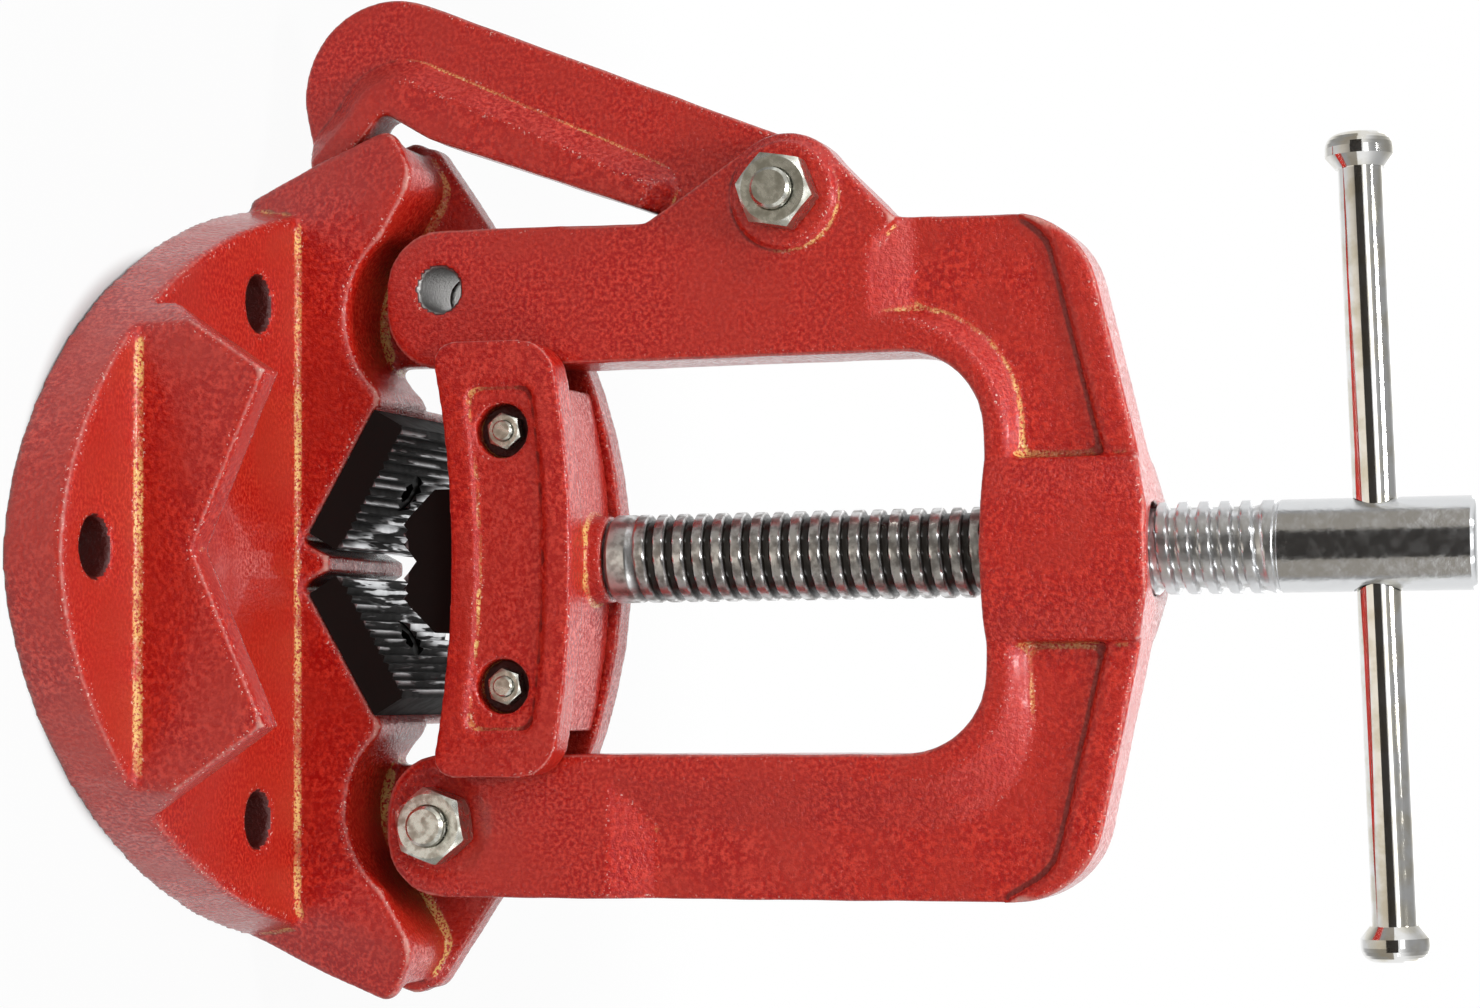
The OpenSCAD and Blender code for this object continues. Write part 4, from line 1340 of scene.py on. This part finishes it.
@dataclass(frozen=True)
class Studio:
    """The camera, a pale floor, soft light, and a dark card before the vise that polished metal shows."""

    focal_px: float = 3373.917
    image_w: int = 1480
    sensor: float = 36.0
    near_clip: float = 0.01
    eye: tuple[float, float, float] = (35.209 * MM, -796.940 * MM, 376.643 * MM)
    pitch_down: float = math.radians(17.215)
    heading: float = math.radians(3.472)
    roll: float = math.radians(-1.422)
    sky_light: float = 0.30
    zenith: float = 0.35
    zenith_span: Span = (0.25, 0.85)
    near_glow: float = 0.95
    near_span: Span = (0.22, 0.40)
    warm_ahead: Span = (0.05, 0.25)
    side_mirror: float = 0.35
    side_span: Span = (0.06, 0.20)
    side_ahead: Span = (-0.35, -0.10)
    foot_half: Span = (0.078, 0.086)
    foot_y: float = -0.045
    foot_edge: Span = (0.92, 1.0)
    floor_color: Color = (0.55, 0.55, 0.55, 1.0)
    warm_floor: Color = (1.0, 0.92, 0.80, 1.0)
    floor_half: float = 9.0
    card_y: float = -0.62
    card_foot: float = 2.0 * MM
    card_h: float = 0.46
    card_half_w: float = 0.45
    card_color: Color = (0.05, 0.045, 0.04, 1.0)
    card_roughness: float = 0.9
    lamp_target: tuple[float, float, float] = (0.0, 0.0, 0.12)
    lamps: tuple[Lamp, ...] = (
        Lamp("key", (-0.10, -0.25, 1.05), (0.22, 0.22), 5.4),
        Lamp("left", (-0.85, -0.70, 0.80), (0.16, 0.60), 3.0),
        Lamp("right", (0.85, -0.75, 0.75), (0.16, 0.60), 2.4),
        Lamp("over_camera", (0.0, -0.90, 0.80), (0.60, 0.25), 1.2),
        Lamp("back", (0.0, 1.35, 0.50), (2.4, 0.5), 3.5),
    )

    def build(self) -> None:
        """Set up the whole studio."""
        self.place_camera()
        self.light_sky()
        self.lay_floor()
        for lamp in self.lamps:
            lamp.hang(Vector(self.lamp_target))
        self.stand_card()
        bpy.context.scene.view_settings.view_transform = "Standard"

    def place_camera(self) -> None:
        """Stand the camera where the photograph was taken, turned so that the vise's top is at the right."""
        sin_e, cos_e = math.sin(self.pitch_down), math.cos(self.pitch_down)
        sin_a, cos_a = math.sin(self.heading), math.cos(self.heading)
        forward = Vector((-sin_a * cos_e, cos_a * cos_e, -sin_e))
        level = Vector((cos_a, sin_a, 0.0))
        above = level.cross(forward)
        across = math.cos(self.roll) * level + math.sin(self.roll) * above
        upward = math.cos(self.roll) * above - math.sin(self.roll) * level
        lens = bpy.data.cameras.new("camera")
        lens.sensor_fit = "HORIZONTAL"
        lens.sensor_width = self.sensor
        lens.lens = self.focal_px / self.image_w * self.sensor
        lens.clip_start = self.near_clip
        camera = bpy.data.objects.new("camera", lens)
        bpy.context.scene.collection.objects.link(camera)
        turn = Matrix((upward, -across, -forward)).transposed()
        camera.matrix_world = Matrix.Translation(Vector(self.eye)) @ turn.to_4x4()
        bpy.context.scene.camera = camera

    def shown(self, tree: Tree) -> bpy.types.NodeSocket:
        """Tell the rays that show a surface as it is seen from the rest.

        Args:
            tree: the tree to add the test to.

        Returns:
            1 for rays from the camera, in reflections and through glass, and 0 for the rest.
        """
        path = tree.add("ShaderNodeLightPath").outputs
        seen = tree.math("MAXIMUM", path["Is Camera Ray"], path["Is Glossy Ray"])
        return tree.math("MAXIMUM", seen, path["Is Transmission Ray"])

    def light_sky(self) -> None:
        """Fill the world with even white light, seen as white near the horizon and dimmer overhead."""
        world = bpy.data.worlds.new("studio")
        world.use_nodes = True
        tree = Tree(world.node_tree)
        way = tree.add("ShaderNodeTexCoord").outputs["Generated"]
        rise = tree.add("ShaderNodeSeparateXYZ", {0: way}).outputs["Z"]
        seen = tree.math("MULTIPLY_ADD", tree.step(rise, *self.zenith_span), self.zenith - 1.0, 1.0)
        extra = tree.math("SUBTRACT", seen, self.sky_light)
        level = tree.math("MULTIPLY_ADD", self.shown(tree), extra, self.sky_light)
        sky = world.node_tree.nodes["Background"]
        sky.inputs["Color"].default_value = WHITE
        tree.feed(sky.inputs["Strength"], level)
        bpy.context.scene.world = world

    def floor_glow(self, tree: Tree, place: bpy.types.NodeSocket) -> bpy.types.NodeSocket:
        """Make the floor as it is seen: white, warmer and dimmer in what the metal mirrors.

        Args:
            tree: the floor's tree.
            place: the point on the floor.

        Returns:
            The glow's shader.
        """
        axes = tree.add("ShaderNodeSeparateXYZ", {0: place}).outputs
        ahead = tree.math("MULTIPLY", axes["Y"], -1.0)
        mirrored = tree.add("ShaderNodeLightPath").outputs["Is Glossy Ray"]
        warmth = tree.math("MULTIPLY", mirrored, tree.step(ahead, *self.warm_ahead))
        tint = tree.mix(warmth, WHITE, self.warm_floor)
        beside = tree.step(tree.math("ABSOLUTE", axes["X"]), *self.side_span)
        beside = tree.math("MULTIPLY", beside, tree.step(ahead, *self.side_ahead))
        dimmed = tree.math("MULTIPLY", tree.math("MULTIPLY", mirrored, beside), self.side_mirror - 1.0)
        strength = tree.math("ADD", dimmed, 1.0)
        return tree.add("ShaderNodeEmission", {"Color": tint, "Strength": strength}).outputs[0]

    def floor_seen(self, tree: Tree, place: bpy.types.NodeSocket) -> bpy.types.NodeSocket:
        """Work out how much of the glow the floor shows: none under the foot, a little less near the vise.

        Args:
            tree: the floor's tree.
            place: the point on the floor.

        Returns:
            The share of the glow.
        """
        span = tree.add("ShaderNodeVectorMath", {0: place}, operation="LENGTH").outputs["Value"]
        away = tree.step(span, *self.near_span)
        glow_here = tree.math("MULTIPLY_ADD", away, 1.0 - self.near_glow, self.near_glow)
        squash = (1.0 / self.foot_half[0], 1.0 / self.foot_half[1], 0.0)
        middle = (0.0, -self.foot_y / self.foot_half[1], 0.0)
        oval = tree.add("ShaderNodeVectorMath", {0: place, 1: squash, 2: middle}, operation="MULTIPLY_ADD")
        inner = tree.add("ShaderNodeVectorMath", {0: oval.outputs[0]}, operation="LENGTH").outputs["Value"]
        open_floor = tree.step(inner, *self.foot_edge)
        return tree.math("MULTIPLY", self.shown(tree), tree.math("MULTIPLY", glow_here, open_floor))

    def lay_floor(self) -> None:
        """Lay the pale floor, which keeps the vise's shadow."""
        half = self.floor_half
        outline = ((-half, -half), (half, -half), (half, half), (-half, half))
        floor = self.sheet("floor", [Vector((x, y, 0.0)) for x, y in outline])
        material, tree, shader = new_finish("pale_floor")
        tree.nodes.remove(shader)
        matte = tree.add("ShaderNodeBsdfDiffuse", {"Color": self.floor_color}).outputs[0]
        place = tree.add("ShaderNodeNewGeometry").outputs["Position"]
        surfaces = {0: self.floor_seen(tree, place), 1: matte, 2: self.floor_glow(tree, place)}
        mixed = tree.add("ShaderNodeMixShader", surfaces)
        tree.links.new(mixed.outputs[0], tree.nodes["Material Output"].inputs["Surface"])
        floor.data.materials.append(material)

    def stand_card(self) -> None:
        """Stand a dark card before the vise that only reflections show."""
        half, foot, top = self.card_half_w, self.card_foot, self.card_h
        outline = ((-half, foot), (half, foot), (half, top), (-half, top))
        card = self.sheet("dark_card", [Vector((x, self.card_y, z)) for x, z in outline])
        card.visible_camera = False
        card.visible_diffuse = False
        card.visible_shadow = False
        card.visible_transmission = False
        material, _, shader = new_finish("dark_card")
        shader.inputs["Base Color"].default_value = self.card_color
        shader.inputs["Roughness"].default_value = self.card_roughness
        card.data.materials.append(material)

    @staticmethod
    def sheet(name: str, corners: Sequence[Vector]) -> bpy.types.Object:
        """Add a flat sheet of the stage.

        Args:
            name: the sheet's name.
            corners: its corners, in order round it.

        Returns:
            The sheet.
        """
        mesh = bpy.data.meshes.new(name)
        mesh.from_pydata([tuple(corner) for corner in corners], [], [tuple(range(len(corners)))])
        piece = add_piece(name, mesh)
        return piece


def make_finishes(effects: Effects) -> Finishes:
    """Build every material but the screw's.

    Args:
        effects: the shared groups.

    Returns:
        The materials.
    """
    slope = math.radians(30.0)
    tooth = 1.2 * MM
    lower_up = Vector((-math.sin(slope), 0.0, math.cos(slope)))
    lower_crest = float((solid_points("lower_jaw_right") @ np.array(lower_up)).max())
    upper_crest = -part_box("upper_jaw")[0].z
    jaws = JawFinish()
    return Finishes(
        enamel=EnamelFinish().make(effects),
        zinc=FASTENER_ZINC.make(effects),
        chrome=HANDLE_PLATE.make(effects),
        lower_jaw=jaws.make(effects, "lower_jaw_steel", lower_up, lower_crest - tooth, lower_crest),
        upper_jaw=jaws.make(effects, "upper_jaw_steel", -UP, upper_crest - tooth, upper_crest),
    )


def main() -> None:
    """Build the studio and every sub-assembly in order."""
    logging.basicConfig(level=logging.INFO, format="%(name)s: %(message)s")
    Studio().build()
    effects = Effects()
    finishes = make_finishes(effects)
    for assembly in (BaseAssembly(), YokeAssembly(), LatchAssembly(), CarriageAssembly(), HandleAssembly()):
        assembly.build(finishes)
    ScrewAssembly().build(effects)


if __name__ == "__main__":
    main()
